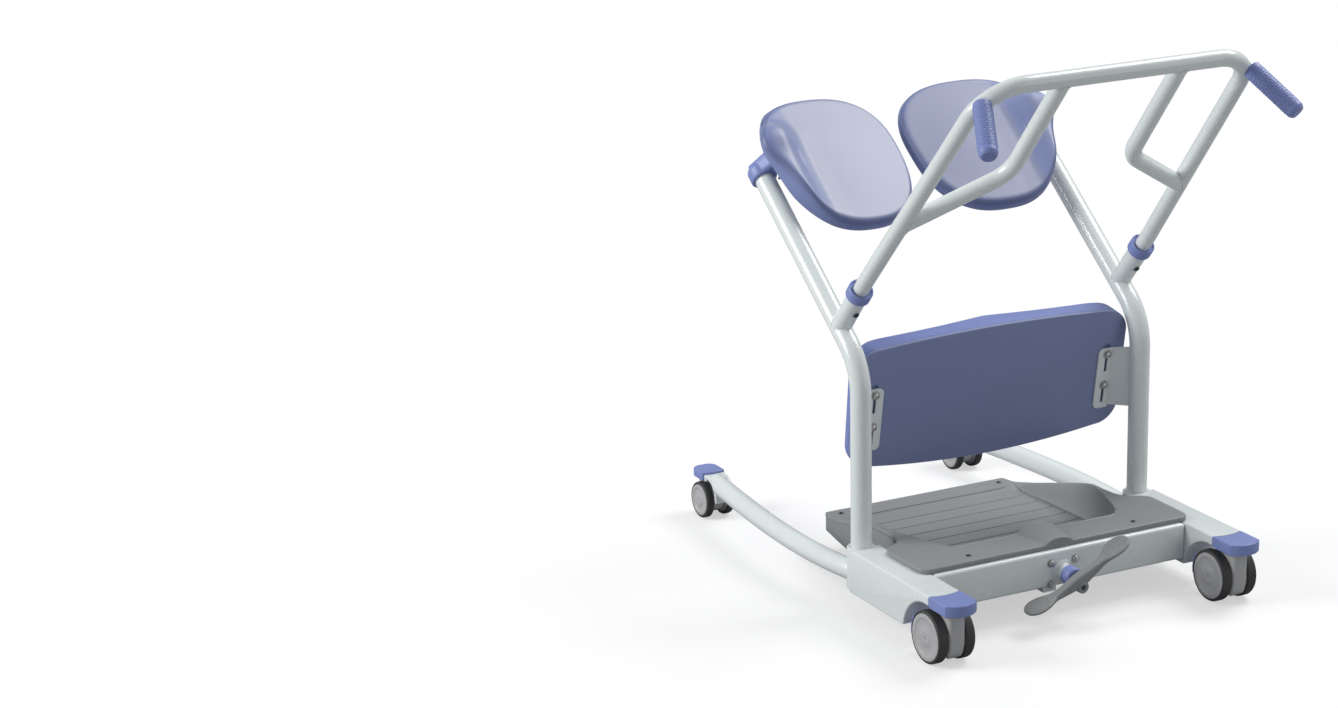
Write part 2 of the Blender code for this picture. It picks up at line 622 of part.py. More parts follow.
def build_platform(root, plastic):
    """Moulded foot tray with its deck over the chassis."""
    deck_low = BOX_TOP_Z + GAP
    deck_top = deck_low + DECK_T
    corner = DECK_CORNER_R
    deck_outline = arc((DECK_HALF_W - corner, DECK_REAR_Y - corner), corner, 90, 0, 4)
    deck_outline += arc((DECK_HALF_W - 0.02, 0.072), 0.02, 0, -55, 3) + list(DECK_SIDE)
    tray_outline = [(0.243, BEAM_FRONT_Y - GAP), *TRAY_SIDE]
    tray_outline += arc((TRAY_CORNER_X, PLATFORM_FRONT_Y + TRAY_CORNER_R), TRAY_CORNER_R, 0, -90, 3)
    obj = part("foot_platform", prism(mirrored(tray_outline), "Z", PLATFORM_LOW_Z, deck_top - 0.0005),
               plastic, root)
    combine(obj, prism(mirrored(deck_outline), "Z", deck_low, deck_top), "UNION")

    ramp = [(PLATFORM_FRONT_Y - 0.02, PLATFORM_STEP_Z), *RAMP, (RAMP_END_Y, deck_top + 0.001),
            (RAMP_END_Y, deck_top + 0.03), (PLATFORM_FRONT_Y - 0.02, deck_top + 0.03)]
    cut(obj, prism(ramp, "X", -DECK_HALF_W, DECK_HALF_W))

    bump = []
    for y, half, rise in BUMP:
        section = [Vector((-half, y, deck_top - 0.004)), Vector((half, y, deck_top - 0.004))]
        for k in range(9):
            share = 1 - k / 4
            height = deck_top - 0.0008 + rise * math.cos(math.pi * share / 2) ** 2
            section.append(Vector((half * share, y, height)))
        bump.append(section)
    combine(obj, loft(bump), "UNION")

    well = mirrored(list(WELL_SIDE))
    wall_y = WELL_SIDE[2][1]
    top = [Vector((x, y, deck_top + 0.02)) for x, y in well]
    floor = [Vector((x - math.copysign(WELL_DRAFT, x), y - (WELL_DRAFT if y > wall_y else 0),
                     PLATFORM_FLOOR_Z)) for x, y in well]
    cut(obj, loft([floor, top]))
    grooves = [box((-half, y - TREAD_W / 2, PLATFORM_FLOOR_Z - TREAD_DEPTH),
                   (half, y + TREAD_W / 2, PLATFORM_FLOOR_Z + 0.01)) for y, half in TREADS]
    cut(obj, join(*grooves))

    skin = PLATFORM_SKIN
    hollow = [(HOLLOW_SIDE[0][0], BEAM_FRONT_Y + 0.01), *HOLLOW_SIDE]
    hollow += [(TRAY_CORNER_X + 0.002, PLATFORM_FRONT_Y + skin)]
    cut(obj, prism(mirrored(hollow), "Z", 0, PLATFORM_FLOOR_Z - skin))

    front_screws = [(side * SCREW_X, SCREW_FRONT_Y, PLATFORM_STEP_Z) for side in SIDES.values()]
    rear_screws = [(side * SCREW_X, SCREW_REAR_Y, deck_top) for side in SIDES.values()]
    seats = [cylinder((x, y, z - 0.0015), (x, y, z + 0.01), SCREW_R, 10)
             for x, y, z in front_screws + rear_screws]
    cut(obj, join(*seats))


def build_pedal(root, paint, blue, dark, steel):
    """Rocker pedal on a shaft through the cross-beam: it spreads and closes the legs."""
    y0 = BEAM_REAR_Y
    boss = [(SHAFT_R + GAP, y0 + GAP), (BOSS_R + 0.004, y0 + GAP), (BOSS_R + 0.003, y0 + 0.003),
            (BOSS_R, y0 + 0.005), (BOSS_R, BOSS_END_Y), (SHAFT_R + GAP, BOSS_END_Y)]
    centre = (0, 0, PEDAL_Z)
    part("pedal_boss", turned(boss, centre, Y_AXIS, 18, closed=True), paint, root)
    axis = pivot("pedal_axis", (0, PEDAL_Y, PEDAL_Z), root)
    shaft = cylinder((0, y0 - 0.028, PEDAL_Z), (0, PEDAL_Y + 0.004, PEDAL_Z), SHAFT_R, 12)
    part("pedal_shaft", shaft, steel, axis)
    collar = [(SHAFT_R + GAP, BOSS_END_Y + GAP * 2), (0.0185, BOSS_END_Y + GAP * 2),
              (0.0185, PEDAL_Y - 0.016), (0.0165, PEDAL_Y - 0.0125), (SHAFT_R + GAP, PEDAL_Y - 0.0125)]
    part("pedal_collar", turned(collar, centre, Y_AXIS, 18, closed=True), blue, axis)

    turn = Matrix.Rotation(PEDAL_TILT, 3, Y_AXIS)
    stations = [(-x, *rest) for x, *rest in reversed(PEDAL_STATIONS[1:])] + list(PEDAL_STATIONS)
    rings = []
    for x, half_y, half_z, rise in stations:
        section = []
        for k in range(10):
            a = math.tau * (k + 0.5) / 10
            squash = abs(math.cos(a)) ** 0.6 * math.copysign(1, math.cos(a))
            lift = abs(math.sin(a)) ** 0.6 * math.copysign(1, math.sin(a))
            section.append(turn @ Vector((x, half_y * squash, rise + half_z * lift))
                           + Vector((0, PEDAL_Y, PEDAL_Z)))
        rings.append(section)
    pedal = part("foot_pedal", loft(rings), dark, axis)
    lug = turn @ Vector((0, 0, PEDAL_LUG_Z)) + Vector((0, 0, PEDAL_Z))
    combine(pedal, cylinder((lug.x, PEDAL_Y - 0.008, lug.z), (lug.x, PEDAL_Y + 0.010, lug.z),
                            PEDAL_LUG_R, 12), "UNION")
    cut(pedal, cylinder((0, PEDAL_Y - 0.03, PEDAL_Z), (0, PEDAL_Y + 0.004 + GAP, PEDAL_Z), SHAFT_R + GAP, 12))


# Columns, knee pad and handle frame

def build_column(word, side, root, paint):
    obj = part(f"column_{word}", tube(column_path(side), COLUMN_R), paint, root)
    foot, rise = handle_axis(side)
    socket = part(f"handle_socket_{word}", cylinder(foot, foot + rise * SOCKET_LENGTH, SOCKET_R), paint, root)
    cut(socket, column_room(side))
    cut(socket, tube(handle_path(GAP * 2), HANDLE_R + GAP))
    return obj


def build_collar(word, side, root, blue):
    """Blue collar that closes the socket round its upright."""
    foot, rise = handle_axis(side)
    shoulder = SOCKET_LENGTH + GAP
    start = SOCKET_LENGTH - COLLAR_H * 0.6
    profile = [(SOCKET_R + GAP, start), (COLLAR_R, start), (COLLAR_R, start + COLLAR_H - 0.003),
               (COLLAR_R - 0.003, start + COLLAR_H), (HANDLE_R + GAP, start + COLLAR_H),
               (HANDLE_R + GAP, shoulder), (SOCKET_R + GAP, shoulder)]
    part(f"socket_collar_{word}", turned(profile, foot, rise, 18, closed=True), blue, root)


def knee_frame():
    """Directions along the board, up it, and out of its front."""
    up = Vector((0, math.sin(KNEE_TILT), math.cos(KNEE_TILT)))
    front = Vector((0, -math.cos(KNEE_TILT), math.sin(KNEE_TILT)))
    return Vector((1, 0, 0)), up, front


def knee_point(x, s, depth):
    """x across, s up the board from its middle, depth ahead of the board's back."""
    across, up, front = knee_frame()
    return Vector((0, KNEE_BACK_Y, KNEE_Z)) + across * x + up * s + front * depth


def knee_outline(inset=0.0):
    """Barrel outline of the pad: bowed long edges and round corners."""
    corner = 0.048 - inset * 0.5
    end_x = KNEE_HALF_W - inset

    def quarter(middle, end):
        def edge(x):
            return middle - inset - (middle - end) * (x / KNEE_HALF_W) ** 2
        points = [(x, edge(x)) for x in (end_x * 0.33, end_x * 0.62)]
        return points + arc((end_x - corner, edge(end_x - corner) - corner), corner, 90, 8, 5)
    top, low = quarter(*KNEE_TOP), [(x, -s) for x, s in reversed(quarter(*KNEE_LOW))]
    right = top + low
    left = [(-x, s) for x, s in reversed(right)]
    return [(0.0, KNEE_TOP[0] - inset)] + right + [(0.0, inset - KNEE_LOW[0])] + left


def build_knee_pad(root, pad_blue, board_blue):
    """Pad that slides down along the bracket slots, on its board with four bolts."""
    guide = pivot("knee_slide", knee_point(0, 0, 0), root)
    board = [[knee_point(x, s, depth) for x, s in knee_outline(inset)]
             for inset, depth in ((0.010, 0), (0.006, BOARD_T))]
    backing = part("knee_board", loft(board), board_blue, guide)
    front = knee_frame()[2]
    shank, head, washer = SLOT_W / 2 - GAP, 0.0055, 0.0078
    back = BRACKET_T + GAP * 2
    bolt = [(shank, -0.004), (shank, back), (washer, back), (washer, back + 0.0018),
            (head, back + 0.0019), (head, back + 0.0058), (head * 0.6, back + 0.0072)]
    for side in SIDES.values():
        for s in SLOT_TOPS:
            combine(backing, turned(bolt, knee_point(side * SLOT_X, s, 0), -front, 10), "UNION")

    def front_depth(x):
        fold = 0.245
        share = abs(x) / fold
        if share < 1:
            return KNEE_CROWN - 0.016 * share
        return KNEE_CROWN - 0.016 - 0.022 * (abs(x) - fold) / (KNEE_HALF_W - fold)
    rings = []
    for inset, share in ((0.003, 0.0), (0.0, 0.25), (0.0, 0.62), (0.006, 0.85), (0.020, 0.96),
                         (0.055, 1.0)):
        layer = []
        for x, s in knee_outline(inset):
            low = BOARD_T + GAP
            layer.append(knee_point(x, s, low + (front_depth(x) - low) * share))
        rings.append(layer)
    part("knee_pad", loft(rings), pad_blue, guide, 30)


def build_bracket(word, side, root, paint):
    """Bent plate welded to the column, with two slots for the knee board's bolts."""
    back, face = -GAP - BRACKET_T, -GAP
    inner, fold = side * BRACKET_X, side * BRACKET_BEND_X
    low_s, high_s = -0.094, 0.034
    corner = 0.010
    near = BRACKET_X + corner
    panel = arc((near, high_s - corner), corner, 180, 90, 3) + [(BRACKET_BEND_X + 0.004, high_s)]
    panel += [(BRACKET_BEND_X + 0.004, low_s)] + arc((near, low_s + corner), corner, 270, 180, 3)
    obj = part(f"knee_bracket_{word}",
               loft([[knee_point(side * x, s, depth) for x, s in panel] for depth in (back, face)]),
               paint, root)
    reach = side * (COLUMN_X - COLUMN_R * 0.6)
    rim_top, rim_low = high_s + 0.003, low_s + 0.006
    wing_rings = []
    for x, top_s, low, shift in ((fold, high_s - 0.0003, rim_low, 0.0),
                                 (reach, rim_top, rim_low + 0.004, 1.0)):
        section = []
        for s, depth in ((top_s, face), (top_s, back), (low, back), (low, face)):
            at = knee_point(x, s, depth)
            if shift:
                at.y = -0.008 if depth == face else -0.004
            section.append(at)
        wing_rings.append(section)
    combine(obj, loft(wing_rings), "UNION")
    cut(obj, column_room(side))
    slots = []
    for s in SLOT_TOPS:
        half = SLOT_W / 2
        top, low = s + GAP, s - SLOT_LEN + SLOT_W + 0.002
        outline = arc((side * SLOT_X, top), half, 0, 180, 4) + arc((side * SLOT_X, low), half, 180, 360, 4)
        slots.append(loft([[knee_point(x, v, depth) for x, v in outline]
                           for depth in (back - 0.01, face + 0.01)]))
    cut(obj, join(*slots))


def build_handle(root, paint, blue):
    """Push frame: bent tube, two inner bars and two grips."""
    path = handle_path()
    frame = part("handle_frame", tube(path, HANDLE_R), paint, root)
    for word, side in SIDES.items():
        crossbar = handle_point(side, INNER_BAR_X, HANDLE_TOP_Z)
        bend = handle_point(side, INNER_BAR_BEND_X, HANDLE_TOP_Z - INNER_BAR_DROP) + Y_AXIS * INNER_BAR_SET
        low = upright_point(side, HANDLE_TOP_Z - INNER_BAR_LOW_DROP)
        inside = HANDLE_R * 0.4
        ends = [at + (bend - at).normalized() * inside for at in (crossbar, low)]
        bar = part(f"inner_bar_{word}", tube(bent_path([ends[0], bend, ends[1]], INNER_BAR_BEND_R, 6),
                                             HANDLE_R), paint, root)
        cut(bar, tube(path, HANDLE_R + GAP))
        start = upright_point(side, HANDLE_TOP_Z - GRIP_DROP) + Y_AXIS * GRIP_SET
        reach = Vector((side * GRIP_REACH[0], *GRIP_REACH[1:]))
        along, length = reach.normalized(), reach.length
        bar_end = length - 0.012
        combine(frame, cylinder(start - along * 0.012, start + along * bar_end, GRIP_BAR_R, 12), "UNION")
        head = GRIP_HEAD
        room = GRIP_BAR_R + GAP
        profile = [(room, bar_end + GAP), (room, head), (GRIP_R - 0.002, head),
                   (GRIP_R, head + 0.003), (GRIP_R, length - 0.006), (GRIP_R - 0.0025, length - 0.0015),
                   (GRIP_R - 0.006, length)]
        part(f"grip_{word}", turned(profile, start, along, 16), blue, root)


# Half seats

def seat_frame(side):
    """Along the hinge, inward across the pad, and out of its top."""
    along = Vector((0, -math.cos(DIAGONAL_RISE), math.sin(DIAGONAL_RISE)))
    level = Vector((0, math.sin(DIAGONAL_RISE), math.cos(DIAGONAL_RISE)))
    inward = Vector((-side * math.cos(SEAT_TILT), 0, 0)) - level * math.sin(SEAT_TILT)
    out = level * math.cos(SEAT_TILT) - Vector((side * math.sin(SEAT_TILT), 0, 0))
    return along, inward, out


def seat_outline(inset=0.0, count=32):
    """Rounded outline as (u along the hinge, w inward), a little wider in front."""
    points = []
    power = 2 / 2.5
    for k in range(count):
        a = math.tau * k / count
        u = math.copysign(abs(math.cos(a)) ** power, math.cos(a))
        w = math.copysign(abs(math.sin(a)) ** power, math.sin(a))
        along = (SEAT_HALF_L - inset) * u
        across = (SEAT_HALF_W - inset) * w * (1 + SEAT_FLARE * u)
        points.append((SEAT_MID_U + along * math.cos(SEAT_YAW) - across * math.sin(SEAT_YAW),
                       SEAT_MID_W + along * math.sin(SEAT_YAW) + across * math.cos(SEAT_YAW)))
    return points


def build_seat(word, side, root, pad_paint, blue):
    """Padded half seat with its hollow underside, and the hinge knuckle with its ribs."""
    origin = diagonal_point(side, SEAT_LUG_START)
    along, inward, out = seat_frame(side)
    hinge = pivot(f"seat_{word}_hinge", origin, root)

    def place(u, w, h):
        return origin + along * u + inward * w + out * h
    low, high = SEAT_SKIRT
    recess = SEAT_RECESS_H
    rings = [[place(u, w, h) for u, w in seat_outline(inset)] for inset, h in (
        (0.030, recess + 0.002), (0.012, recess), (SEAT_RIM + 0.002, low + 0.001), (0.002, low),
        (0.0, low + 0.004), (0.0, high - 0.008), (0.004, high - 0.001), (0.011, high + 0.001),
        (0.040, high + SEAT_CROWN * 0.5), (0.090, high + SEAT_CROWN))]
    pad = part(f"seat_pad_{word}", loft(rings), pad_paint, hinge)
    room = KNUCKLE_R + GAP * 2
    cut(pad, turned([(room, -0.020), (room, KNUCKLE_L + 0.004)], origin, along, 20))

    bore = bore_radius(COLUMN_R, 20)
    profile = [(bore, SEAT_TUBE_DEPTH + GAP), (bore, -0.006),
               (KNUCKLE_R - 0.004, -0.006), (KNUCKLE_R, -0.001), (KNUCKLE_R, KNUCKLE_L - 0.020),
               (KNUCKLE_R - 0.003, KNUCKLE_L - 0.010), (KNUCKLE_R - 0.011, KNUCKLE_L + 0.002),
               (KNUCKLE_R - 0.022, KNUCKLE_L + 0.005)]
    arm = part(f"seat_arm_{word}", turned(profile, origin, along, 20), blue, hinge)
    top = recess - GAP
    for length, heading, half in RIBS:
        turn = math.radians(heading)
        ahead = (math.cos(turn), math.sin(turn))
        aside = (-math.sin(turn), math.cos(turn))
        sections = []
        for run, wide, deep in ((COLUMN_R + 0.009, half, 0.030), (length * 0.45, half * 0.6, 0.012),
                                (length, half * 0.3, 0.003)):
            u, w = RIB_U + ahead[0] * run, ahead[1] * run
            sections.append([place(u + aside[0] * b, w + aside[1] * b, h) for b, h in (
                (wide, top), (-wide, top), (-wide * 0.6, top - deep), (wide * 0.6, top - deep))])
        combine(arm, loft(sections), "UNION")
    cut(arm, turned([(bore, -SEAT_TUBE_DEPTH), (bore, SEAT_TUBE_DEPTH + GAP)], origin, along, 20))


# Assembly

def centre_on_floor(root):
    """Slide the assembly along Y until the origin lies below its middle."""
    bpy.context.view_layer.update()
    graph = bpy.context.evaluated_depsgraph_get()
    reach = []
    for obj in bpy.data.objects:
        if obj.type == "MESH" and not obj.hide_render:
            shape = obj.evaluated_get(graph)
            reach += [(shape.matrix_world @ Vector(corner)).y for corner in shape.bound_box]
    root.location.y -= (min(reach) + max(reach)) / 2
    bpy.context.view_layer.update()


def build():
    clear_scene()
    paint = finish("powder_coat", (0.72, 0.77, 0.76), 0.32)
    blue = finish("blue_plastic", (0.17, 0.23, 0.52), 0.42)
    pad_blue = finish("knee_cushion_blue", (0.20, 0.27, 0.60), 0.5)
    seat_lilac = finish("seat_cushion_lilac", (0.45, 0.48, 0.69), 0.5)
    board_blue = finish("board_dark_blue", (0.09, 0.11, 0.25), 0.5)
    platform_grey = finish("platform_grey", (0.20, 0.21, 0.22), 0.5)
    pedal_grey = finish("pedal_grey", (0.13, 0.14, 0.15), 0.5)
    housing_grey = finish("castor_grey", (0.42, 0.42, 0.42), 0.4)
    disc_grey = finish("wheel_grey", (0.33, 0.32, 0.31), 0.45)
    rubber = finish("tyre_rubber", (0.035, 0.035, 0.037), 0.7)
    steel = finish("steel", (0.45, 0.45, 0.43), 0.3, 1.0)
    castor = (housing_grey, rubber, disc_grey, blue)

    root = pivot("stand_aid", (0, 0, 0))
    build_chassis(root, paint)
    build_platform(root, platform_grey)
    build_pedal(root, paint, blue, pedal_grey, steel)
    for word, side in SIDES.items():
        build_side_box(f"side_box_{word}", side, root, paint)
        build_rear_cap(f"rear_cap_{word}", side, root, blue)
        build_castor(f"rear_{word}", root, (side * REAR_KINGPIN_X, REAR_KINGPIN_Y), REAR_TRAIL,
                     REAR_WHEEL_R, REAR_WHEEL_W, REAR_FORK_W, REAR_CAP_LOW_Z - 0.0005,
                     BOX_TOP_Z - CAP_SKIN - 0.006, castor, brake=True)
        build_leg(word, side, root, (paint, blue, castor))
        build_column(word, side, root, paint)
        build_collar(word, side, root, blue)
        build_bracket(word, side, root, paint)
        build_seat(word, side, root, seat_lilac, blue)
    build_knee_pad(root, pad_blue, board_blue)
    build_handle(root, paint, blue)
    centre_on_floor(root)


build()
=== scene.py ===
# %% [markdown]
# # A stand aid
# The CAD model brings every solid, joint and size. This script gives each piece the surface that
# the real one has: round tubes, moulded plastic, padded cushions and small fasteners. New surfaces
# are worked out with numpy from named sizes, and each one takes the place of the solid it dresses.

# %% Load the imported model
import json
import math

import bmesh
import bpy
import numpy as np
from mathutils import Matrix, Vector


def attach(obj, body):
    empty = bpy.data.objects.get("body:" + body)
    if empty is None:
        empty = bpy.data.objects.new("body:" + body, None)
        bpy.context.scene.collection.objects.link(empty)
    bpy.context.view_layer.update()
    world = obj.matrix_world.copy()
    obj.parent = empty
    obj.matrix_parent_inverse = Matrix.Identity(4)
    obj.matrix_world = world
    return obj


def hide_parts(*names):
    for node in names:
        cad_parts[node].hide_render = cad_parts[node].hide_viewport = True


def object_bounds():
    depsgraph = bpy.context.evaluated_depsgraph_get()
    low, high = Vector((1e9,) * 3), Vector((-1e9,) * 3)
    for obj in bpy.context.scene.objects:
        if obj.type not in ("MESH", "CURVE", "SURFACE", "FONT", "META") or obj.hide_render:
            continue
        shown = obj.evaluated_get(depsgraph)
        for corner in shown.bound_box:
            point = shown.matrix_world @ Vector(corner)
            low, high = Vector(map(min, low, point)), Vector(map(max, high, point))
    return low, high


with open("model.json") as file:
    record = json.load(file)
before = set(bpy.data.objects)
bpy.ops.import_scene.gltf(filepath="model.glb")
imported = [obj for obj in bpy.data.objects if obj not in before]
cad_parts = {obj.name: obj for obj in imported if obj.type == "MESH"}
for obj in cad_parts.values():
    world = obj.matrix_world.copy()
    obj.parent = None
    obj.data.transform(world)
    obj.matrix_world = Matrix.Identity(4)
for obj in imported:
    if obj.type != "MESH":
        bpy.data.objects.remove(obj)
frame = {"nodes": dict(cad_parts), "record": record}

CAD_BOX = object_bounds()
JOINTS = {joint["name"]: joint for joint in frame["record"]["behaviour"]["joints"]}
COLUMN_Y = JOINTS["leg_left_spread"]["pos_m"][1]
print("box", [np.round(corner, 4).tolist() for corner in CAD_BOX], "columns at Y", COLUMN_Y)

# %% [markdown]
# ## Camera
# The camera stands where the photographer's stood. It could be aimed by eye or by a Track To
# constraint. The photograph was solved as a long lens at a known place, though, so its turn is
# worked out from three angles, and the render can be laid over the photograph.

# %% Camera
IMAGE_W = 1338
EYE = np.array([3.204, 4.8873 + COLUMN_Y, 2.1975])
FOCAL_PX = 3201.47
SENSOR_MM = 36
AZIMUTH, ELEVATION, ROLL = 152.978, 16.558, -1.208


def camera_turn(azimuth, elevation, roll):
    """Rows are the picture's right, its up and the way back to the eye, turned by the roll."""
    a, e, r = np.radians([azimuth, elevation, roll])
    look = np.array([-np.sin(a) * np.cos(e), np.cos(a) * np.cos(e), -np.sin(e)])
    right = np.array([np.cos(a), np.sin(a), 0.0])
    up = np.cross(right, look)
    turn = np.array([[np.cos(r), -np.sin(r), 0], [np.sin(r), np.cos(r), 0], [0, 0, 1]])
    rows = turn @ np.vstack([right, -up, look])
    return np.vstack([rows[0], -rows[1], -rows[2]])


lens = bpy.data.cameras.new("photo_camera")
lens.sensor_width = SENSOR_MM
lens.lens = FOCAL_PX * SENSOR_MM / IMAGE_W
camera = bpy.data.objects.new("photo_camera", lens)
bpy.context.collection.objects.link(camera)
world_from_camera = np.eye(4)
world_from_camera[:3, :3] = camera_turn(AZIMUTH, ELEVATION, ROLL).T
world_from_camera[:3, 3] = EYE
camera.matrix_world = Matrix(world_from_camera.tolist())
bpy.context.scene.camera = camera
bpy.context.scene.view_settings.view_transform = "Standard"
print("lens", round(lens.lens, 2), "mm")

# %% [markdown]
# ## Shader sums
# A finish could be wired by hand in the shader editor. It is easier to read as a sum: a Wire holds
# one output of a node, and each operator between wires or numbers adds the Math node it names.


# %% Wires and finishes
class Wire:
    """One node output that can be added and multiplied like a number."""

    def __init__(self, finish, socket):
        self.finish, self.socket = finish, socket

    def _math(self, operation, first, second):
        node = self.finish.tree.nodes.new("ShaderNodeMath")
        node.operation = operation
        for place, value in zip(node.inputs, (first, second)):
            self.finish.feed(place, value)
        return Wire(self.finish, node.outputs[0])

    def __add__(self, other):
        return self._math("ADD", self, other)

    def __radd__(self, other):
        return self._math("ADD", other, self)

    def __mul__(self, other):
        return self._math("MULTIPLY", self, other)

    def __rmul__(self, other):
        return self._math("MULTIPLY", other, self)


class Finish:
    """A Principled material whose nodes are added from Python expressions."""

    def __init__(self, name, **constants):
        self.material = bpy.data.materials.new(name)
        self.material.use_nodes = True
        self.tree = self.material.node_tree
        self.shader = self.tree.nodes["Principled BSDF"]
        for key, value in constants.items():
            self.shader.inputs[key.replace("_", " ")].default_value = value
        self.place = self.node("ShaderNodeTexCoord", output="Object")

    def feed(self, socket, value):
        """Link a wire to a socket, or write a number or colour in it."""
        if isinstance(value, Wire):
            self.tree.links.new(value.socket, socket)
        elif hasattr(socket.default_value, "__len__") and len(value) == 3 and len(socket.default_value) == 4:
            socket.default_value = (*value, 1.0)
        else:
            socket.default_value = value

    def node(self, kind, settings=(), stops=None, output=0, **values):
        """Add a node: its settings first, then the values or wires of its sockets."""
        node = self.tree.nodes.new(kind)
        for key, value in dict(settings).items():
            setattr(node, key, value)
        if stops:
            ramp = node.color_ramp
            for element, (position, colour) in zip(ramp.elements, stops):
                element.position, element.color = position, (*colour, 1)
        for key, value in values.items():
            self.feed(node.inputs[key.replace("_", " ")], value)
        return Wire(self, node.outputs[output])

    def noise(self, scale, detail=2.0):
        return self.node("ShaderNodeTexNoise", Vector=self.place, Scale=scale, Detail=detail)

    def attribute(self, name):
        return self.node("ShaderNodeAttribute", {"attribute_name": name}, output="Fac")

    def mix(self, factor, first, second):
        """Blend two colours by a factor from 0 to 1."""
        node = self.tree.nodes.new("ShaderNodeMix")
        node.data_type = "RGBA"
        for place, value in zip((0, 6, 7), (factor, first, second)):
            self.feed(node.inputs[place], value)
        return Wire(self, node.outputs[2])

    def clouds(self, colour, spread, scale):
        """The colour, a little lighter and darker in soft clouds."""
        dark = [c * (1 - spread) for c in colour]
        light = [min(1.0, c * (1 + spread)) for c in colour]
        return self.mix(self.noise(scale), dark, light)

    def colour(self, wire):
        self.feed(self.shader.inputs["Base Color"], wire)

    def roughness(self, low, high, scale):
        self.feed(self.shader.inputs["Roughness"], low + (high - low) * self.noise(scale))

    def bump(self, height, distance, strength):
        wire = self.node("ShaderNodeBump", Height=height, Distance=distance, Strength=strength)
        self.feed(self.shader.inputs["Normal"], wire)


# %% [markdown]
# ## Finishes
# The tubes are powder coated: a glossy skin that is a little uneven in tone and shine. The blue
# pieces are moulded with a fine grain, the cushions are foam with a leather-like skin, and the
# foot tray is a coarser, duller plastic. Photographs of such surfaces could be wrapped round the
# pieces, but noise and cells in the object's own coordinates, in metres, need no picture and keep
# their size on every piece.


# %% Powder coat
PAINT_WHITE = (0.74, 0.79, 0.78)


def powder_coat():
    finish = Finish("powder_coat", Coat_Weight=0.35, Coat_Roughness=0.08, IOR=1.5)
    finish.colour(finish.clouds(PAINT_WHITE, 0.012, 7.0))
    finish.roughness(0.24, 0.30, 9.0)
    return finish.material


# %% Moulded plastics
# Painted shade for the tread lines' grooves: a dark colour mixed in where they are deep.
GROOVE_PAINTED_SHADE = (0.03, 0.03, 0.032)


def moulded(name, colour, rough=(0.36, 0.48), grain=420.0, depth=0.00004):
    """Fine spark-eroded grain. Painted shade darkens the points whose value "groove" is high, in the tread
    lines.
    """
    finish = Finish(name, IOR=1.48)
    clouds = finish.clouds(colour, 0.03, 14.0)
    finish.colour(finish.mix(0.75 * finish.attribute("groove"), clouds, GROOVE_PAINTED_SHADE))
    finish.roughness(*rough, 90.0)
    finish.bump(finish.noise(grain, 3.0), depth, 0.25)
    return finish.material


# %% Cushion skin
def cushion_skin(name, colour, rough, top=None, coat=0.0, brow=(0, 0, 0)):
    """Foam skin: small pebbles whose valleys are a little darker, and a soft sheen. The value
    "top" of each point blends towards a paler colour, a painted reflection on the top that also gets
    more coat, and a second point value blends towards a darker colour, a painted shade on the rim's shoulder."""
    finish = Finish(name, IOR=1.46, Sheen_Weight=0.12, Sheen_Roughness=0.4, Coat_Roughness=0.35)
    pebbles = finish.node("ShaderNodeTexVoronoi", {"feature": "DISTANCE_TO_EDGE"}, Vector=finish.place,
                          Scale=950.0)
    valley = finish.node("ShaderNodeValToRGB", stops=[(0.0, (0, 0, 0)), (0.12, (1, 1, 1))], Fac=pebbles)
    clouds = finish.clouds(colour, 0.03, 11.0)
    if top:
        share = finish.attribute("top")
        # Painted light: a darker colour for painted shade on the shoulder, then a paler colour for a painted
        # reflection on the top and a painted highlight along the bolster's crest.
        clouds = finish.mix(share, finish.mix(finish.attribute("brow"), clouds, brow), top)
        finish.feed(finish.shader.inputs["Coat Weight"], coat * share)
    finish.colour(finish.mix(0.86 + 0.14 * valley, (0, 0, 0), clouds))
    finish.roughness(*rough, 70.0)
    finish.bump(pebbles + 0.35 * finish.noise(300.0), 0.00018, 0.4)
    return finish.material


# %% Rubber and metal
def tyre_rubber():
    finish = Finish("tyre_rubber", IOR=1.5)
    finish.colour(finish.clouds((0.040, 0.040, 0.041), 0.12, 40.0))
    finish.roughness(0.5, 0.68, 120.0)
    finish.bump(finish.noise(900.0, 3.0), 0.0001, 0.5)
    return finish.material


def bright_steel():
    """Turned and zinc plated: fine scratches in the roughness."""
    finish = Finish("steel", Metallic=1.0)
    finish.colour(finish.clouds((0.52, 0.52, 0.50), 0.08, 300.0))
    finish.roughness(0.22, 0.42, 900.0)
    finish.bump(finish.noise(1600.0), 0.00003, 0.3)
    return finish.material


def dark_steel():
    """Blackened screws, worn a little brighter in spots."""
    finish = Finish("dark_steel", Metallic=1.0)
    finish.colour(finish.clouds((0.085, 0.105, 0.112), 0.15, 300.0))
    finish.roughness(0.34, 0.52, 700.0)
    return finish.material


# %% Every finish, and which CAD slot wears it
PAINT = powder_coat()
BLUE = moulded("blue_plastic", (0.205, 0.255, 0.530))
KNEE_BLUE = cushion_skin("knee_cushion_blue", (0.188, 0.238, 0.530), (0.40, 0.50))
# The top colour is a painted reflection on the seats' tops, and the colour after it a painted shade on their
# shoulders.
SEAT_LILAC = cushion_skin("seat_cushion_lilac", (0.215, 0.262, 0.500), (0.40, 0.48),
                          top=(0.283, 0.310, 0.462), coat=0.4, brow=(0.150, 0.180, 0.350))
BOARD_BLUE = moulded("board_dark_blue", (0.212, 0.250, 0.440), rough=(0.38, 0.5))
TRAY_GREY = moulded("platform_grey", (0.252, 0.263, 0.268), rough=(0.42, 0.54), grain=600.0, depth=0.00008)
PEDAL_GREY = moulded("pedal_grey", (0.236, 0.240, 0.243), rough=(0.42, 0.55))
CASTOR_GREY = moulded("castor_grey", (0.43, 0.43, 0.425), rough=(0.3, 0.4))
WHEEL_GREY = moulded("wheel_grey", (0.44, 0.44, 0.44), rough=(0.32, 0.42))
RUBBER = tyre_rubber()
STEEL = bright_steel()
BLACK_STEEL = dark_steel()
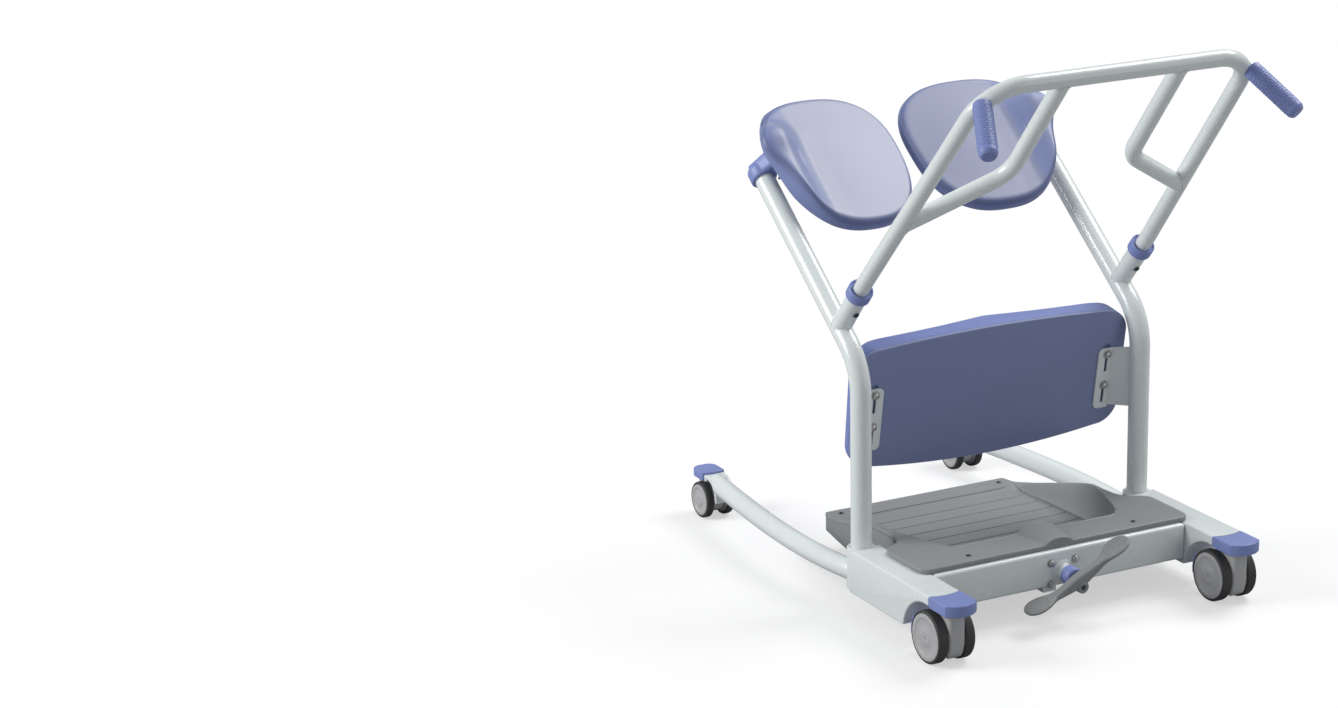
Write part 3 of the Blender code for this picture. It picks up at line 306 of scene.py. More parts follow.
NODE_FINISH = {"powder_coat": PAINT, "blue_plastic": BLUE, "knee_cushion_blue": KNEE_BLUE,
               "seat_cushion_lilac": SEAT_LILAC, "board_dark_blue": BOARD_BLUE,
               "platform_grey": TRAY_GREY, "pedal_grey": PEDAL_GREY, "castor_grey": CASTOR_GREY,
               "wheel_grey": WHEEL_GREY, "tyre_rubber": RUBBER, "steel": STEEL}
for part in frame["record"]["subparts"]:
    solid = frame["nodes"][part["node"]]
    solid.data.materials.clear()
    solid.data.materials.append(NODE_FINISH[part["material_slot"]])
SLOT_OF = {material.name: name for name, material in NODE_FINISH.items()}
print(len(NODE_FINISH), "slots, each with its finish")

# %% [markdown]
# ## Floor and light
# The photograph has no room: the background is white and the object stands on its own soft
# shadow. A big white plane with a strong lamp would light the object too, so the floor and the
# surround are white only to the camera, and large soft lamps give the light. One stands low on the
# object's right and one high on its left, so the faces towards the pusher stay darker and each
# tube has a dark line between two bright sides.


# %% Floor and surround
FLOOR_HALF, FLOOR_NEAR, FLOOR_FAR = 14.0, 0.65, 1.25


def pale_floor():
    """White to the camera with the object's soft shadow on it, and darker as a source of light
    from below. A glow lightens the shadow, and away from the object, by r = sqrt(x^2 + y^2), it
    is all that is left and hides the horizon."""
    finish = Finish("floor", Roughness=0.9, Specular_IOR_Level=0.1, Emission_Strength=1.0)
    seen = finish.node("ShaderNodeLightPath", output="Is Camera Ray")
    away = finish.node("ShaderNodeVectorMath", {"operation": "LENGTH"}, Vector=finish.place, output="Value")
    far = finish.node("ShaderNodeMapRange", {"interpolation_type": "SMOOTHSTEP"}, Value=away,
                      From_Min=FLOOR_NEAR, From_Max=FLOOR_FAR)
    near = finish.mix(finish.noise(2.0), (0.43, 0.43, 0.43), (0.45, 0.45, 0.45))
    finish.colour(finish.mix(seen, (0.36, 0.36, 0.37), finish.mix(far, near, (0, 0, 0))))
    glow = finish.mix(far, (0.54, 0.54, 0.54), (1, 1, 1))
    finish.feed(finish.shader.inputs["Emission Color"], finish.mix(seen, (0, 0, 0), glow))
    corners = [(x * FLOOR_HALF, y * FLOOR_HALF, 0) for x, y in ((-1, -1), (1, -1), (1, 1), (-1, 1))]
    mesh = bpy.data.meshes.new("floor")
    mesh.from_pydata(corners, [], [(0, 1, 2, 3)])
    mesh.materials.append(finish.material)
    floor = bpy.data.objects.new("floor", mesh)
    bpy.context.collection.objects.link(floor)


def surround(ambient):
    """The world is white to the camera and through clear things, and dimmer as light."""
    world = bpy.data.worlds.new("surround")
    bpy.context.scene.world = world
    world.use_nodes = True
    nodes, links = world.node_tree.nodes, world.node_tree.links
    nodes.clear()
    rays = nodes.new("ShaderNodeLightPath")
    seen = nodes.new("ShaderNodeMath")
    seen.operation = "MAXIMUM"
    links.new(rays.outputs["Is Camera Ray"], seen.inputs[0])
    links.new(rays.outputs["Is Transmission Ray"], seen.inputs[1])
    blend, out = nodes.new("ShaderNodeMixShader"), nodes.new("ShaderNodeOutputWorld")
    links.new(seen.outputs[0], blend.inputs[0])
    skies = (((0.93, 0.96, 1.0, 1), ambient), ((1, 1, 1, 1), 1.0))
    for place, (colour, strength) in zip(blend.inputs[1:], skies):
        sky = nodes.new("ShaderNodeBackground")
        sky.inputs["Color"].default_value = colour
        sky.inputs["Strength"].default_value = strength
        links.new(sky.outputs[0], place)
    links.new(blend.outputs[0], out.inputs[0])


# %% Lamps
def soft_lamp(name, place, aim, size, power):
    """A square lamp whose back points away from its aim."""
    data = bpy.data.lights.new(name, "AREA")
    data.shape, data.size, data.energy = "SQUARE", size, power
    lamp = bpy.data.objects.new(name, data)
    bpy.context.collection.objects.link(lamp)
    place, aim = np.array(place, float), np.array(aim, float)
    back = (place - aim) / np.linalg.norm(place - aim)
    side = np.cross([0, 0, 1.0], back)
    side /= np.linalg.norm(side)
    turn = np.eye(4)
    turn[:3, :3] = np.column_stack([side, np.cross(back, side), back])
    turn[:3, 3] = place
    lamp.matrix_world = Matrix(turn.tolist())
    print(name, "lamp", power, "W at", place.tolist())


pale_floor()
surround(0.36)
soft_lamp("key", (4.4, -1.4, 2.6), (0, 0, 0.5), 2.2, 182)
soft_lamp("top", (-2.9, -0.2, 3.9), (0, 0, 0.4), 2.4, 142)
soft_lamp("fill", (-2.0, 4.6, 1.6), (0, 0, 0.5), 2.4, 20)

# %% [markdown]
# ## Shapes from arrays
# Most pieces are a profile carried along a path or turned round an axis. Curve objects with a
# bevel could make the tubes, and a Screw modifier the turned pieces. Arrays are used instead,
# because every point then follows from a formula and the pieces can be cut with each other. Each
# helper works out all points at once and returns (points, faces), with Y measured from the columns.

# %% Skins and prisms
ACROSS, REARWARD, UPWARD = (1, 0, 0), (0, 1, 0), (0, 0, 1)
CENTRE = 0.0001


def skin(rings, closed=False):
    """Quad (i, j) joins points j and j + 1 of rings i and i + 1. Open skins get end faces."""
    rings = np.asarray(rings, float)
    rows, cols = rings.shape[:2]
    i, j = np.meshgrid(np.arange(rows if closed else rows - 1), np.arange(cols), indexing="ij")
    below, beside = (i + 1) % rows, (j + 1) % cols
    quads = np.stack([i * cols + j, i * cols + beside, below * cols + beside, below * cols + j], -1)
    faces = quads.reshape(-1, 4).tolist()
    if not closed:
        faces += [list(range(cols))[::-1], list(range((rows - 1) * cols, rows * cols))]
    return rings.reshape(-1, 3), faces


def merged(*shapes):
    """Several shapes as one."""
    points, faces, count = [], [], 0
    for shape, shape_faces in shapes:
        points.append(shape)
        faces += [[k + count for k in face] for face in shape_faces]
        count += len(shape)
    return np.vstack(points), faces


def prism(outline, axis, low, high):
    """An outline in the plane across X, Y or Z, drawn out from low to high."""
    a, b = np.asarray(outline, float).T
    rings = []
    for level in (low, high):
        c = np.full(len(a), float(level))
        rings.append(np.column_stack({"X": (c, a, b), "Y": (a, c, b), "Z": (a, b, c)}[axis]))
    return skin(rings)


def block(low, high):
    corners = [(low[0], low[1]), (high[0], low[1]), (high[0], high[1]), (low[0], high[1])]
    return prism(corners, "Z", low[2], high[2])


def arc(centre, radius, start, end, steps):
    """Points on an arc in a plane, angles in degrees."""
    angle = np.radians(np.linspace(start, end, steps + 1))
    return [(centre[0] + radius * math.cos(a), centre[1] + radius * math.sin(a)) for a in angle]


def slot_outline(x, low, high, radius, steps):
    """A slot with round ends: half a circle at its top and half a circle at its foot."""
    return arc((x, high), radius, 0, 180, steps) + arc((x, low), radius, 180, 360, steps)


# %% Turned and swept shapes
def unit(v):
    v = np.asarray(v, float)
    return v / np.linalg.norm(v)


def cross_axes(axis):
    """Two directions square to an axis and to each other."""
    axis = unit(axis)
    side = np.array([0, 1.0, 0]) if abs(axis[1]) < 0.9 else np.array([1.0, 0, 0])
    side = unit(side - axis * (side @ axis))
    return side, np.cross(axis, side)


def round_about(axis, count, shift=0.0):
    """Unit vectors in even steps round an axis: cos(a) side + sin(a) up."""
    side, up = cross_axes(axis)
    angle = (np.arange(count) + shift) * math.tau / count
    return np.cos(angle)[:, None] * side + np.sin(angle)[:, None] * up


def turned(profile, centre, axis, count=64, closed=False):
    """Each profile point (radius r, distance d) becomes a circle of radius r at d along the axis."""
    profile = np.asarray(profile, float)
    middle = np.asarray(centre, float) + profile[:, 1:2] * unit(axis)
    rings = middle[:, None] + profile[:, 0, None, None] * round_about(axis, count, 0.5)
    return skin(rings, closed)


def cylinder(radius, low, high, centre, axis, count=64):
    """A plain cylinder, mostly for cutting a bore."""
    return turned([(radius, low), (radius, high)], centre, axis, count)


def swept(path, radius, count):
    """A circle carried along the path. Its side is turned as little as the path allows."""
    path = np.asarray(path, float)
    steps = np.diff(path, axis=0)
    steps /= np.linalg.norm(steps, axis=1)[:, None]
    along = np.vstack([steps[:1], steps[:-1] + steps[1:], steps[-1:]])
    along /= np.linalg.norm(along, axis=1)[:, None]
    side, sides = cross_axes(along[0])[0], []
    for step in along:
        side = unit(side - step * (side @ step))
        sides.append(side)
    sides = np.array(sides)
    ups = np.cross(along, sides)
    angle = np.arange(count) * math.tau / count
    rings = path[:, None] + radius * (np.cos(angle)[:, None] * sides[:, None]
                                      + np.sin(angle)[:, None] * ups[:, None])
    return skin(rings)


def bent(corners, bend_r, steps):
    """Straight runs between corners, joined by arcs of one radius."""
    corners = [np.asarray(c, float) for c in corners]
    path = [corners[0]]
    for before, corner, after in zip(corners, corners[1:], corners[2:]):
        inward, outward = unit(corner - before), unit(after - corner)
        turn = math.acos(np.clip(inward @ outward, -1, 1))
        start = corner - inward * bend_r * math.tan(turn / 2)
        normal = unit(np.cross(inward, outward))
        middle = start + np.cross(normal, inward) * bend_r
        arm = start - middle
        angle = np.linspace(0, turn, steps + 1)[:, None]
        path += list(middle + arm * np.cos(angle) + np.cross(normal, arm) * np.sin(angle))
    return np.array(path + [corners[-1]])


# %% [markdown]
# ## Pieces
# A shape becomes a piece in two steps. Where real parts are cut or joined, worked() lets Boolean
# and Bevel modifiers do it on a throwaway object and takes the result, which is simpler than
# working out every edge by hand. Then piece() makes the mesh with its points in their final place,
# hangs it on the empty of the body on which it rides, and hides the solids it stands for.


# %% Working a shape
def loose_object(name, shape):
    points, faces = shape
    mesh = bpy.data.meshes.new(name)
    mesh.from_pydata((points + (0, COLUMN_Y, 0)).tolist(), [], faces)
    bm = bmesh.new()
    bm.from_mesh(mesh)
    bmesh.ops.recalc_face_normals(bm, faces=bm.faces)
    bm.to_mesh(mesh)
    bm.free()
    obj = bpy.data.objects.new(name, mesh)
    bpy.context.collection.objects.link(obj)
    return obj


def worked(shape, *steps):
    """Join (UNION) or cut (DIFFERENCE) with other shapes, and ROUND the edges, in order."""
    base = loose_object("base", shape)
    tools = []
    for operation, other in steps:
        if operation == "ROUND":
            step = base.modifiers.new("round", "BEVEL")
            step.width, step.segments, angle = other
            step.limit_method, step.angle_limit = "ANGLE", math.radians(angle)
            continue
        tool = loose_object("tool", other)
        tools.append(tool)
        step = base.modifiers.new("step", "BOOLEAN")
        step.operation, step.solver, step.object = operation, "EXACT", tool
    bpy.context.view_layer.update()
    graph = bpy.context.evaluated_depsgraph_get()
    result = bpy.data.meshes.new_from_object(base.evaluated_get(graph))
    points = np.empty(len(result.vertices) * 3)
    result.vertices.foreach_get("co", points)
    faces = [list(face.vertices) for face in result.polygons]
    for obj in [base] + tools:
        bpy.data.objects.remove(obj, do_unlink=True)
    bpy.data.meshes.remove(result)
    return points.reshape(-1, 3) - (0, COLUMN_Y, 0), faces


# %% Pieces from shapes
SIDES = {"left": -1, "right": 1}
GAP = 0.0003
MADE, TOLD = [], []


def piece(name, shape, finish, body, nodes=(), slot=None, sharp=38):
    """A finished piece: it rides on its body and stands for the CAD nodes that it is given."""
    obj = loose_object(name, shape)
    obj.data.materials.append(finish)
    obj.data.shade_smooth()
    obj.data.set_sharp_from_angle(angle=math.radians(sharp))
    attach(obj, body)
    if nodes:
        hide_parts(*([nodes] if isinstance(nodes, str) else nodes))
    slot or SLOT_OF[finish.name]
    MADE.append(obj)
    return obj


def point_values(obj, **values):
    """Store one number for each point, which the finishes read by name."""
    for name, value in values.items():
        obj.data.attributes.new(name, "FLOAT", "POINT").data.foreach_set("value", value)


def tell(title):
    """Print how many pieces were made since the last call, and how many points they have."""
    fresh = MADE[len(TOLD):]
    TOLD.extend(fresh)
    print(f"{title}: {len(fresh)} pieces, {sum(len(obj.data.vertices) for obj in fresh)} points")


# %% [markdown]
# ## Columns and sockets
# Each column is one bent tube of 40 mm: upright through the side box, then leaning over the user
# as the diagonal that carries a half seat. A short socket is welded on at the back for the handle's
# upright, with a screw below its blue collar. A circle is carried along a path of two straight runs
# and an arc, as a tube bender would draw it, so the bend keeps one radius and the tube one width.

# %% Sizes of the frame
COLUMN_X, COLUMN_R, CORNER_Z, COLUMN_BEND_R = 0.314, 0.020, 0.479, 0.12
RISE = math.radians(38.4)
DIAGONAL_LENGTH, SEAT_LUG_START = 0.486, 0.441
BOX_LOW_Z, BOX_TOP_Z = 0.045, 0.1286
COLUMN_SCREW_Z, SOCKET_SCREW_AT = 0.176, 0.066
HANDLE_R, HANDLE_SLOPE, HANDLE_FOOT = 0.0155, math.radians(49.8), 0.0947
SOCKET_R, SOCKET_LENGTH, SOCKET_BEAD = 0.0195, 0.112, 0.0011
COLLAR_R, COLLAR_H, COLLAR_FLOOR = 0.0240, 0.022, 0.004
HANDLE_TOP_X, HANDLE_TOP_Z, HANDLE_BEND_R = 0.283, 1.065, 0.085


def diagonal_point(side, along):
    """A point on the diagonal's axis, measured from the corner of the column."""
    return np.array([side * COLUMN_X, -along * math.cos(RISE), CORNER_Z + along * math.sin(RISE)])


def handle_axis(side):
    """Where the handle's upright meets the diagonal, and the way it rises."""
    rise = np.array([0, math.cos(HANDLE_SLOPE), math.sin(HANDLE_SLOPE)])
    return diagonal_point(side, HANDLE_FOOT), rise


def upright_ends(side):
    """The upright above its socket: it leans inward to the crossbar."""
    foot, rise = handle_axis(side)
    top = foot + rise * ((HANDLE_TOP_Z - foot[2]) / rise[2])
    top[0] = side * HANDLE_TOP_X
    return foot + rise * (SOCKET_LENGTH + 0.03), top


print("diagonal ends at", np.round(diagonal_point(1, DIAGONAL_LENGTH), 4).tolist())


# %% Screw heads and weld seams
def screw_head(at, out, radius, height, drive=0.45):
    """Round head with a rounded rim and a sunk drive, whose radius is a share of the head's."""
    profile = [(radius, -height * 0.2), (radius, height * 0.6), (radius * 0.86, height * 0.95),
               (radius * 0.6, height), (radius * drive, height), (radius * drive * 0.92, height * 0.35),
               (CENTRE, height * 0.3)]
    return turned(profile, at, out, 28)


def weld_bead(tube_axis, tube_point, tube_r, branch_point, branch_dir, branch_r, bead):
    """A small round seam where a branch tube meets a tube: for each angle round the branch, the
    point where its wall line pierces the tube's cylinder."""
    start = branch_point + branch_r * round_about(branch_dir, 48)
    d = branch_dir - tube_axis * (branch_dir @ tube_axis)
    p = start - tube_point
    p = p - np.outer(p @ tube_axis, tube_axis)
    a, b, c = d @ d, 2 * p @ d, (p * p).sum(1) - tube_r ** 2
    far = (-b + np.sqrt(np.maximum(b * b - 4 * a * c, 0))) / (2 * a)
    loop = start + far[:, None] * branch_dir
    away = loop - (branch_point + ((loop - branch_point) @ branch_dir)[:, None] * branch_dir)
    away /= np.linalg.norm(away, axis=1)[:, None]
    turn = np.arange(8) * math.tau / 8
    rings = loop[:, None] + bead * (np.cos(turn)[:, None] * away[:, None]
                                    + np.sin(turn)[:, None] * branch_dir)
    return skin(rings, closed=True)


# %% Columns
for word, side in SIDES.items():
    corners = [(side * COLUMN_X, 0, BOX_LOW_Z)] + [diagonal_point(side, d) for d in (0, DIAGONAL_LENGTH)]
    path = bent(corners, COLUMN_BEND_R, 28)
    piece(f"column_tube_{word}", swept(path, COLUMN_R, 44), PAINT, "base", f"column_{word}")
    at = (side * COLUMN_X, -COLUMN_R, COLUMN_SCREW_Z)
    piece(f"column_screw_{word}", screw_head(at, (0, -1, 0), 0.0062, 0.004), STEEL, "base", slot="steel")
tell("columns")

# %% Sockets
for word, side in SIDES.items():
    foot, rise = handle_axis(side)
    stub = swept([foot + rise * 0.004, foot + rise * (SOCKET_LENGTH - 0.0008)], SOCKET_R, 44)
    lean = unit(diagonal_point(side, 1) - diagonal_point(side, 0))
    seam = weld_bead(lean, foot, COLUMN_R, foot, rise, SOCKET_R, SOCKET_BEAD)
    piece(f"socket_tube_{word}", merged(stub, seam), PAINT, "base", f"handle_socket_{word}")
    back = np.cross(rise, ACROSS)
    at = foot + rise * SOCKET_SCREW_AT + back * SOCKET_R
    head = screw_head(at, back, 0.0058, 0.0030, 0.62)
    piece(f"socket_screw_{word}", head, BLACK_STEEL, "base", slot="steel")
tell("sockets")

# %% Socket collars
for word, side in SIDES.items():
    foot, rise = handle_axis(side)
    start, top = SOCKET_LENGTH - COLLAR_H * 0.6, SOCKET_LENGTH + COLLAR_H * 0.4 + GAP
    outside, inside = SOCKET_R + GAP, HANDLE_R + GAP
    lip = [(0, 0.0030), (0.0004, 0.0016), (0.0013, 0.0005), (0.0024, 0), (0.0034, 0.0004), (0.0040, 0.0014),
           (0.0043, 0.0034)]
    profile = [(outside, start + 0.001), (COLLAR_R - 0.0008, start), (COLLAR_R, start + 0.001)]
    profile += [(COLLAR_R - inward, top - down) for inward, down in lip]
    profile += [(inside + 0.0008, top - 0.0040), (inside, top - 0.0046), (inside, start + COLLAR_FLOOR),
                (outside, start + COLLAR_FLOOR)]
    collar = turned(profile, foot, rise, 56, closed=True)
    piece(f"collar_{word}", collar, BLUE, "base", f"socket_collar_{word}")
tell("collars")

# %% [markdown]
# ## Push handle
# One tube is bent into the high frame, and two equal tubes are welded inside it, so a user can
# hold on at several heights. Blue grips stand out at both corners. The path is bent as the column's
# is, and a seam of weld closes each meeting of two tubes, where a bare crossing would look cut.

# %% Sizes of the handle
INNER_BAR_X, INNER_BAR_LOW_Z, INNER_BAR_BEND_R = 0.124, 0.7744, 0.07
INNER_BEND = np.array([0.129, 0.2122, 0.8684])
GRIP_START, GRIP_END = np.array([0.2846, 0.3599, 1.0345]), np.array([0.325, 0.4445, 0.966])
GRIP_R, GRIP_HEAD, GRIP_ROUND = 0.0170, -0.0030, 0.008
STUB_R, STUB_SHORT, BAR_BEAD = 0.011, 0.012, 0.0018
DASH_PITCH, DASH_ROWS, DASH_H = 0.0052, 12, 0.0006


def mirrored(point, side):
    """A point given for the right side, on either side."""
    return point * np.array([side, 1, 1])


# %% Handle frame and inner bars
halves = [[handle_axis(s)[0] + handle_axis(s)[1] * (COLUMN_R + 0.015), *upright_ends(s)] for s in (-1, 1)]
frame_path = bent(halves[0] + halves[1][::-1], HANDLE_BEND_R, 28)
handle_shapes = [swept(frame_path, HANDLE_R, 44)]
for word, side in SIDES.items():
    low, top = upright_ends(side)
    crossbar = np.array([side * INNER_BAR_X, top[1], HANDLE_TOP_Z])
    joint = low + (top - low) * (INNER_BAR_LOW_Z - low[2]) / (top[2] - low[2])
    bend = mirrored(INNER_BEND, side)
    ends = [at + unit(bend - at) * HANDLE_R * 0.35 for at in (crossbar, joint)]
    bar = swept(bent([ends[0], bend, ends[1]], INNER_BAR_BEND_R, 24), HANDLE_R, 44)
    seams = [weld_bead(unit(tube), at, HANDLE_R, at, unit(bend - at), HANDLE_R, BAR_BEAD)
             for tube, at in ((ACROSS, crossbar), (top - low, joint))]
    piece(f"inner_tube_{word}", merged(bar, *seams), PAINT, "base", f"inner_bar_{word}")
    start, end = mirrored(GRIP_START, side), mirrored(GRIP_END, side)
    short = unit(end - start) * STUB_SHORT
    handle_shapes.append(swept([start - short, end - short], STUB_R, 28))
piece("handle_tube", merged(*handle_shapes), PAINT, "base", "handle_frame")
tell("handle")


# %% [markdown]
# ## Grips
# The grips are soft sleeves with rows of short raised dashes. A bump map would leave their outline
# smooth, and dashes set on one by one would be hundreds of small meshes. The radius of the turned
# form is raised instead, where both a wave round the grip and a wave along it are high.

# %% Grips
def grip_sleeve(start, end):
    """Radius = sleeve + dash height where cos(12 angle, half a turn on in every second row) and
    the cosine of the row's own wave are both above a limit."""
    length = np.linalg.norm(end - start)
    along = unit(end - start)
    dome = length - GRIP_ROUND
    run = np.concatenate([np.linspace(GRIP_HEAD, GRIP_HEAD + 0.004, 5),
                          np.linspace(GRIP_HEAD + 0.0045, dome, 150),
                          dome + GRIP_ROUND * np.sin(np.linspace(0.1, math.pi / 2, 10))])
    ease = np.clip((run - GRIP_HEAD) / 0.004, 0, 1)
    close = np.clip((run - dome) / GRIP_ROUND, 0, 1)
    sleeve = (GRIP_R - 0.0022 + 0.0022 * np.sqrt(1 - (1 - ease) ** 2)) * (1 - 0.26 * close ** 1.6)
    angle = np.arange(144) * math.tau / 144
    row = run[:, None] / DASH_PITCH
    shift = np.floor(row) % 2 * math.pi
    dash = (np.cos(angle[None] * DASH_ROWS + shift) > -0.35) * (np.cos(row * math.tau) > 0.1)
    zone = ((run > GRIP_HEAD + 0.010) & (run < length - 0.014))[:, None]
    reach = sleeve[:, None] + DASH_H * dash * zone
    return skin(start + run[:, None, None] * along + reach[..., None] * round_about(along, 144))


for word, side in SIDES.items():
    sleeve = grip_sleeve(mirrored(GRIP_START, side), mirrored(GRIP_END, side))
    piece(f"grip_sleeve_{word}", sleeve, BLUE, "base", f"grip_{word}", sharp=30)
tell("grips")

# %% [markdown]
# ## Half seats
# Each pad is a foam shell with a thick rounded rim. Its top is nearly flat and turns up towards the
# hinge, first as a ramp, then in a crease and a steeper bolster that keeps the user from sliding
# sideways. The shell's lower edge turns up with it. It could be sculpted, or blown up by a cloth
# simulation, but moulded foam keeps its crisp ridges. So rings of one rounded outline are stacked
# from the middle of the top, over the rim and back under the lip, and formulas give the heights.

# %% Sizes of the seats
SEAT_TILT, SEAT_YAW = math.radians(5.6), math.radians(-3.5)
SEAT_HALF_L, SEAT_HALF_W, SEAT_FLARE = 0.1576, 0.148, 0.11
SEAT_MID = np.array([0.0117, 0.150])
SEAT_LOW, SEAT_HIGH, SEAT_RECESS = 0.0235, 0.0475, 0.0375
SEAT_SHOULDER, SEAT_EDGE = 0.013, 0.003
SEAT_RISE = [(-0.010, 0.0275), (0.006, 0.0295), (0.020, 0.0305), (0.031, 0.0275), (0.050, 0.0168),
             (0.077, 0.0085), (0.110, 0.0072), (0.300, 0.0066)]
SEAT_LIFT = [(-0.010, 0.0190), (0.020, 0.0175), (0.080, 0.0055), (0.300, 0.0050)]
# Share of the painted reflection across the pad, by distance from the hinge side: a painted highlight on the
# crest, less on the ramp, full on the flat top.
SEAT_PAINTED_REFLECTION = [(0.000, 0.10), (0.016, 0.75), (0.022, 0.80), (0.032, 0.30), (0.062, 0.20), (0.073, 0.95),
             (0.080, 1.00), (0.300, 1.00)]
AWAY_FROM_HINGE = 0.2
KNUCKLE_R = 0.0265
HINGE_OF = {side: diagonal_point(side, SEAT_LUG_START) for side in SIDES.values()}


def seat_axes(side):
    """Rows: along the hinge towards the front, inward, and out of the seat's top."""
    along = np.array([0, -math.cos(RISE), math.sin(RISE)])
    level = np.array([0, math.sin(RISE), math.cos(RISE)])
    inward = np.array([-side * math.cos(SEAT_TILT), 0, 0]) - level * math.sin(SEAT_TILT)
    out = level * math.cos(SEAT_TILT) - np.array([side * math.sin(SEAT_TILT), 0, 0])
    return np.array([along, inward, out])


def seat_place(side, u, w, h):
    """u along the hinge towards the front, w inward, h out of the seat's top."""
    return HINGE_OF[side] + np.stack(np.broadcast_arrays(u, w, h), -1) @ seat_axes(side)


print("hinges at", {side: np.round(point, 4).tolist() for side, point in HINGE_OF.items()})


# %% Curves from tables
def smooth(value, low, high):
    """0 below low, 1 above high, and an even S between them."""
    t = np.clip((value - low) / (high - low), 0, 1)
    return t * t * (3 - 2 * t)


def bell(value, middle, reach):
    """1 at the middle, falling off evenly on both sides."""
    return np.exp(-((value - middle) / reach) ** 2)


def table(rows, at):
    """Straight interpolation in a table of (position, value)."""
    rows = np.array(rows)
    return np.interp(at, rows[:, 0], rows[:, 1])


def blurred(rows, at, reach):
    """The table averaged over a short reach, which rounds its corners."""
    share = np.linspace(-1, 1, 15)
    weight = (1 - share ** 2) ** 1.5
    at = np.asarray(at, float)
    return (table(rows, at[..., None] + reach * share) * weight).sum(-1) / weight.sum()


def superellipse(count, power):
    """The circle's x and y, each raised to a power below 1, which fills out the corners."""
    angle = np.arange(count) * math.tau / count
    return [np.sign(v) * np.abs(v) ** power for v in (np.cos(angle), np.sin(angle))]


# %% The seat's surfaces
def seat_ring(inset):
    """A superellipse, wider in front, with a lobe over the hinge's front half."""
    u, w = superellipse(160, 0.8)
    along = (SEAT_HALF_L - inset) * u
    across = (SEAT_HALF_W - inset) * w * (1 + SEAT_FLARE * u)
    across -= 0.0075 * bell(along, 0.035, 0.045) * (w < 0) * np.abs(w) ** 2.5
    return np.column_stack([along * math.cos(SEAT_YAW) - across * math.sin(SEAT_YAW),
                            along * math.sin(SEAT_YAW) + across * math.cos(SEAT_YAW)]) + SEAT_MID


def run_out(u):
    """1 over most of the length, with a lobe over the hinge's front half, then falling away."""
    return (1 - 0.95 * smooth(u, 0.072, 0.124)) * (1 + 0.42 * bell(u, 0.062, 0.034))


def seat_top(u, w):
    """A little crowned, turned up towards the hinge, with a pinch in the middle of the ramp. The
    bolster runs out towards the front end."""
    crown = 0.0030 * (1 - smooth(np.hypot((u - SEAT_MID[0]) / 0.16, (w - SEAT_MID[1]) / 0.16), 0.1, 1.0))
    pinch = -0.0026 * bell(w, 0.050, 0.0030) * bell(u, 0.012, 0.016)
    level = table(SEAT_RISE, AWAY_FROM_HINGE)
    return SEAT_HIGH + crown + level + (blurred(SEAT_RISE, w, 0.008) - level) * run_out(u) + pinch


def lean(ring, share):
    """The bolster's outer face leans outward over the middle of the hinge: share 0 to 1."""
    u, w = ring.T
    out = (0.013 * bell(u, 0.050, 0.042) - 0.009 * bell(u, 0.118, 0.022)) * (1 - smooth(w, -0.010, 0.045))
    return np.column_stack([u, w - out * share])


def seat_lift(u, w):
    """How far the shell's lower edge stands above that of a flat pad: less at the rear end."""
    return blurred(SEAT_LIFT, w, 0.012) * (0.35 + 0.65 * smooth(u, -0.070, 0.030))


def under_lift(u, w):
    """The same for the hollow below, which is flat away from the hinge."""
    return seat_lift(u, w) - seat_lift(u, AWAY_FROM_HINGE)


def shrunk(outline, middle, shares):
    """The outline drawn in towards a middle."""
    return [middle + share * (outline - middle) for share in shares]


# %% Seat pads
def seat_pad(side):
    """Rings of (u, w) with a height each: the top, the quarter-round shoulder, the flank, the
    small round at its foot, the lip behind it and the hollow underside."""
    inner_rings = shrunk(seat_ring(0.042), SEAT_MID, np.linspace(0.03, 1.0, 44))
    rings = [(ring, seat_top(*ring.T)) for ring in inner_rings]
    for inset in np.linspace(0.0395, SEAT_SHOULDER + 0.001, 11):
        ring = seat_ring(inset)
        rings.append((lean(ring, 1 - smooth(inset, 0.010, 0.040)), seat_top(*ring.T)))
    for a in np.radians(np.linspace(8, 90, 12)):
        ring = seat_ring(SEAT_SHOULDER * (1 - math.sin(a)))
        rings.append((lean(ring, 1), seat_top(*ring.T) - SEAT_SHOULDER * (1 - math.cos(a))))
    high = rings[-1][1]
    for share in (0.25, 0.5, 0.75):
        ring = seat_ring(-0.0016 * math.sin(math.pi * share))
        low = SEAT_LOW + seat_lift(*ring.T) + SEAT_EDGE
        rings.append((lean(ring, 1 - share), high + (low - high) * share))
    for a in np.radians(np.linspace(0, 90, 5)):
        ring = seat_ring(SEAT_EDGE * (1 - math.cos(a)))
        rings.append((ring, SEAT_LOW + seat_lift(*ring.T) + SEAT_EDGE * (1 - math.sin(a))))
    for inset, height in ((0.0065, 0.0001), (0.0085, 0.0010), (0.0100, 0.0030)):
        ring = seat_ring(inset)
        rings.append((ring, SEAT_LOW + seat_lift(*ring.T) + height))
    for inset, height in ((0.0125, -0.003), (0.0165, -0.0008), (0.024, 0.0)):
        ring = seat_ring(inset)
        rings.append((ring, SEAT_RECESS + under_lift(*ring.T) + height))
    shares = (0.93, 0.86, 0.78, 0.7, 0.6, 0.45, 0.25, 0.03)
    for share, ring in zip(shares, shrunk(seat_ring(0.024), SEAT_MID, shares)):
        rings.append((ring, SEAT_RECESS + under_lift(*ring.T) + 0.0015 * (1 - share)))
    return skin([seat_place(side, *ring.T, height) for ring, height in rings])


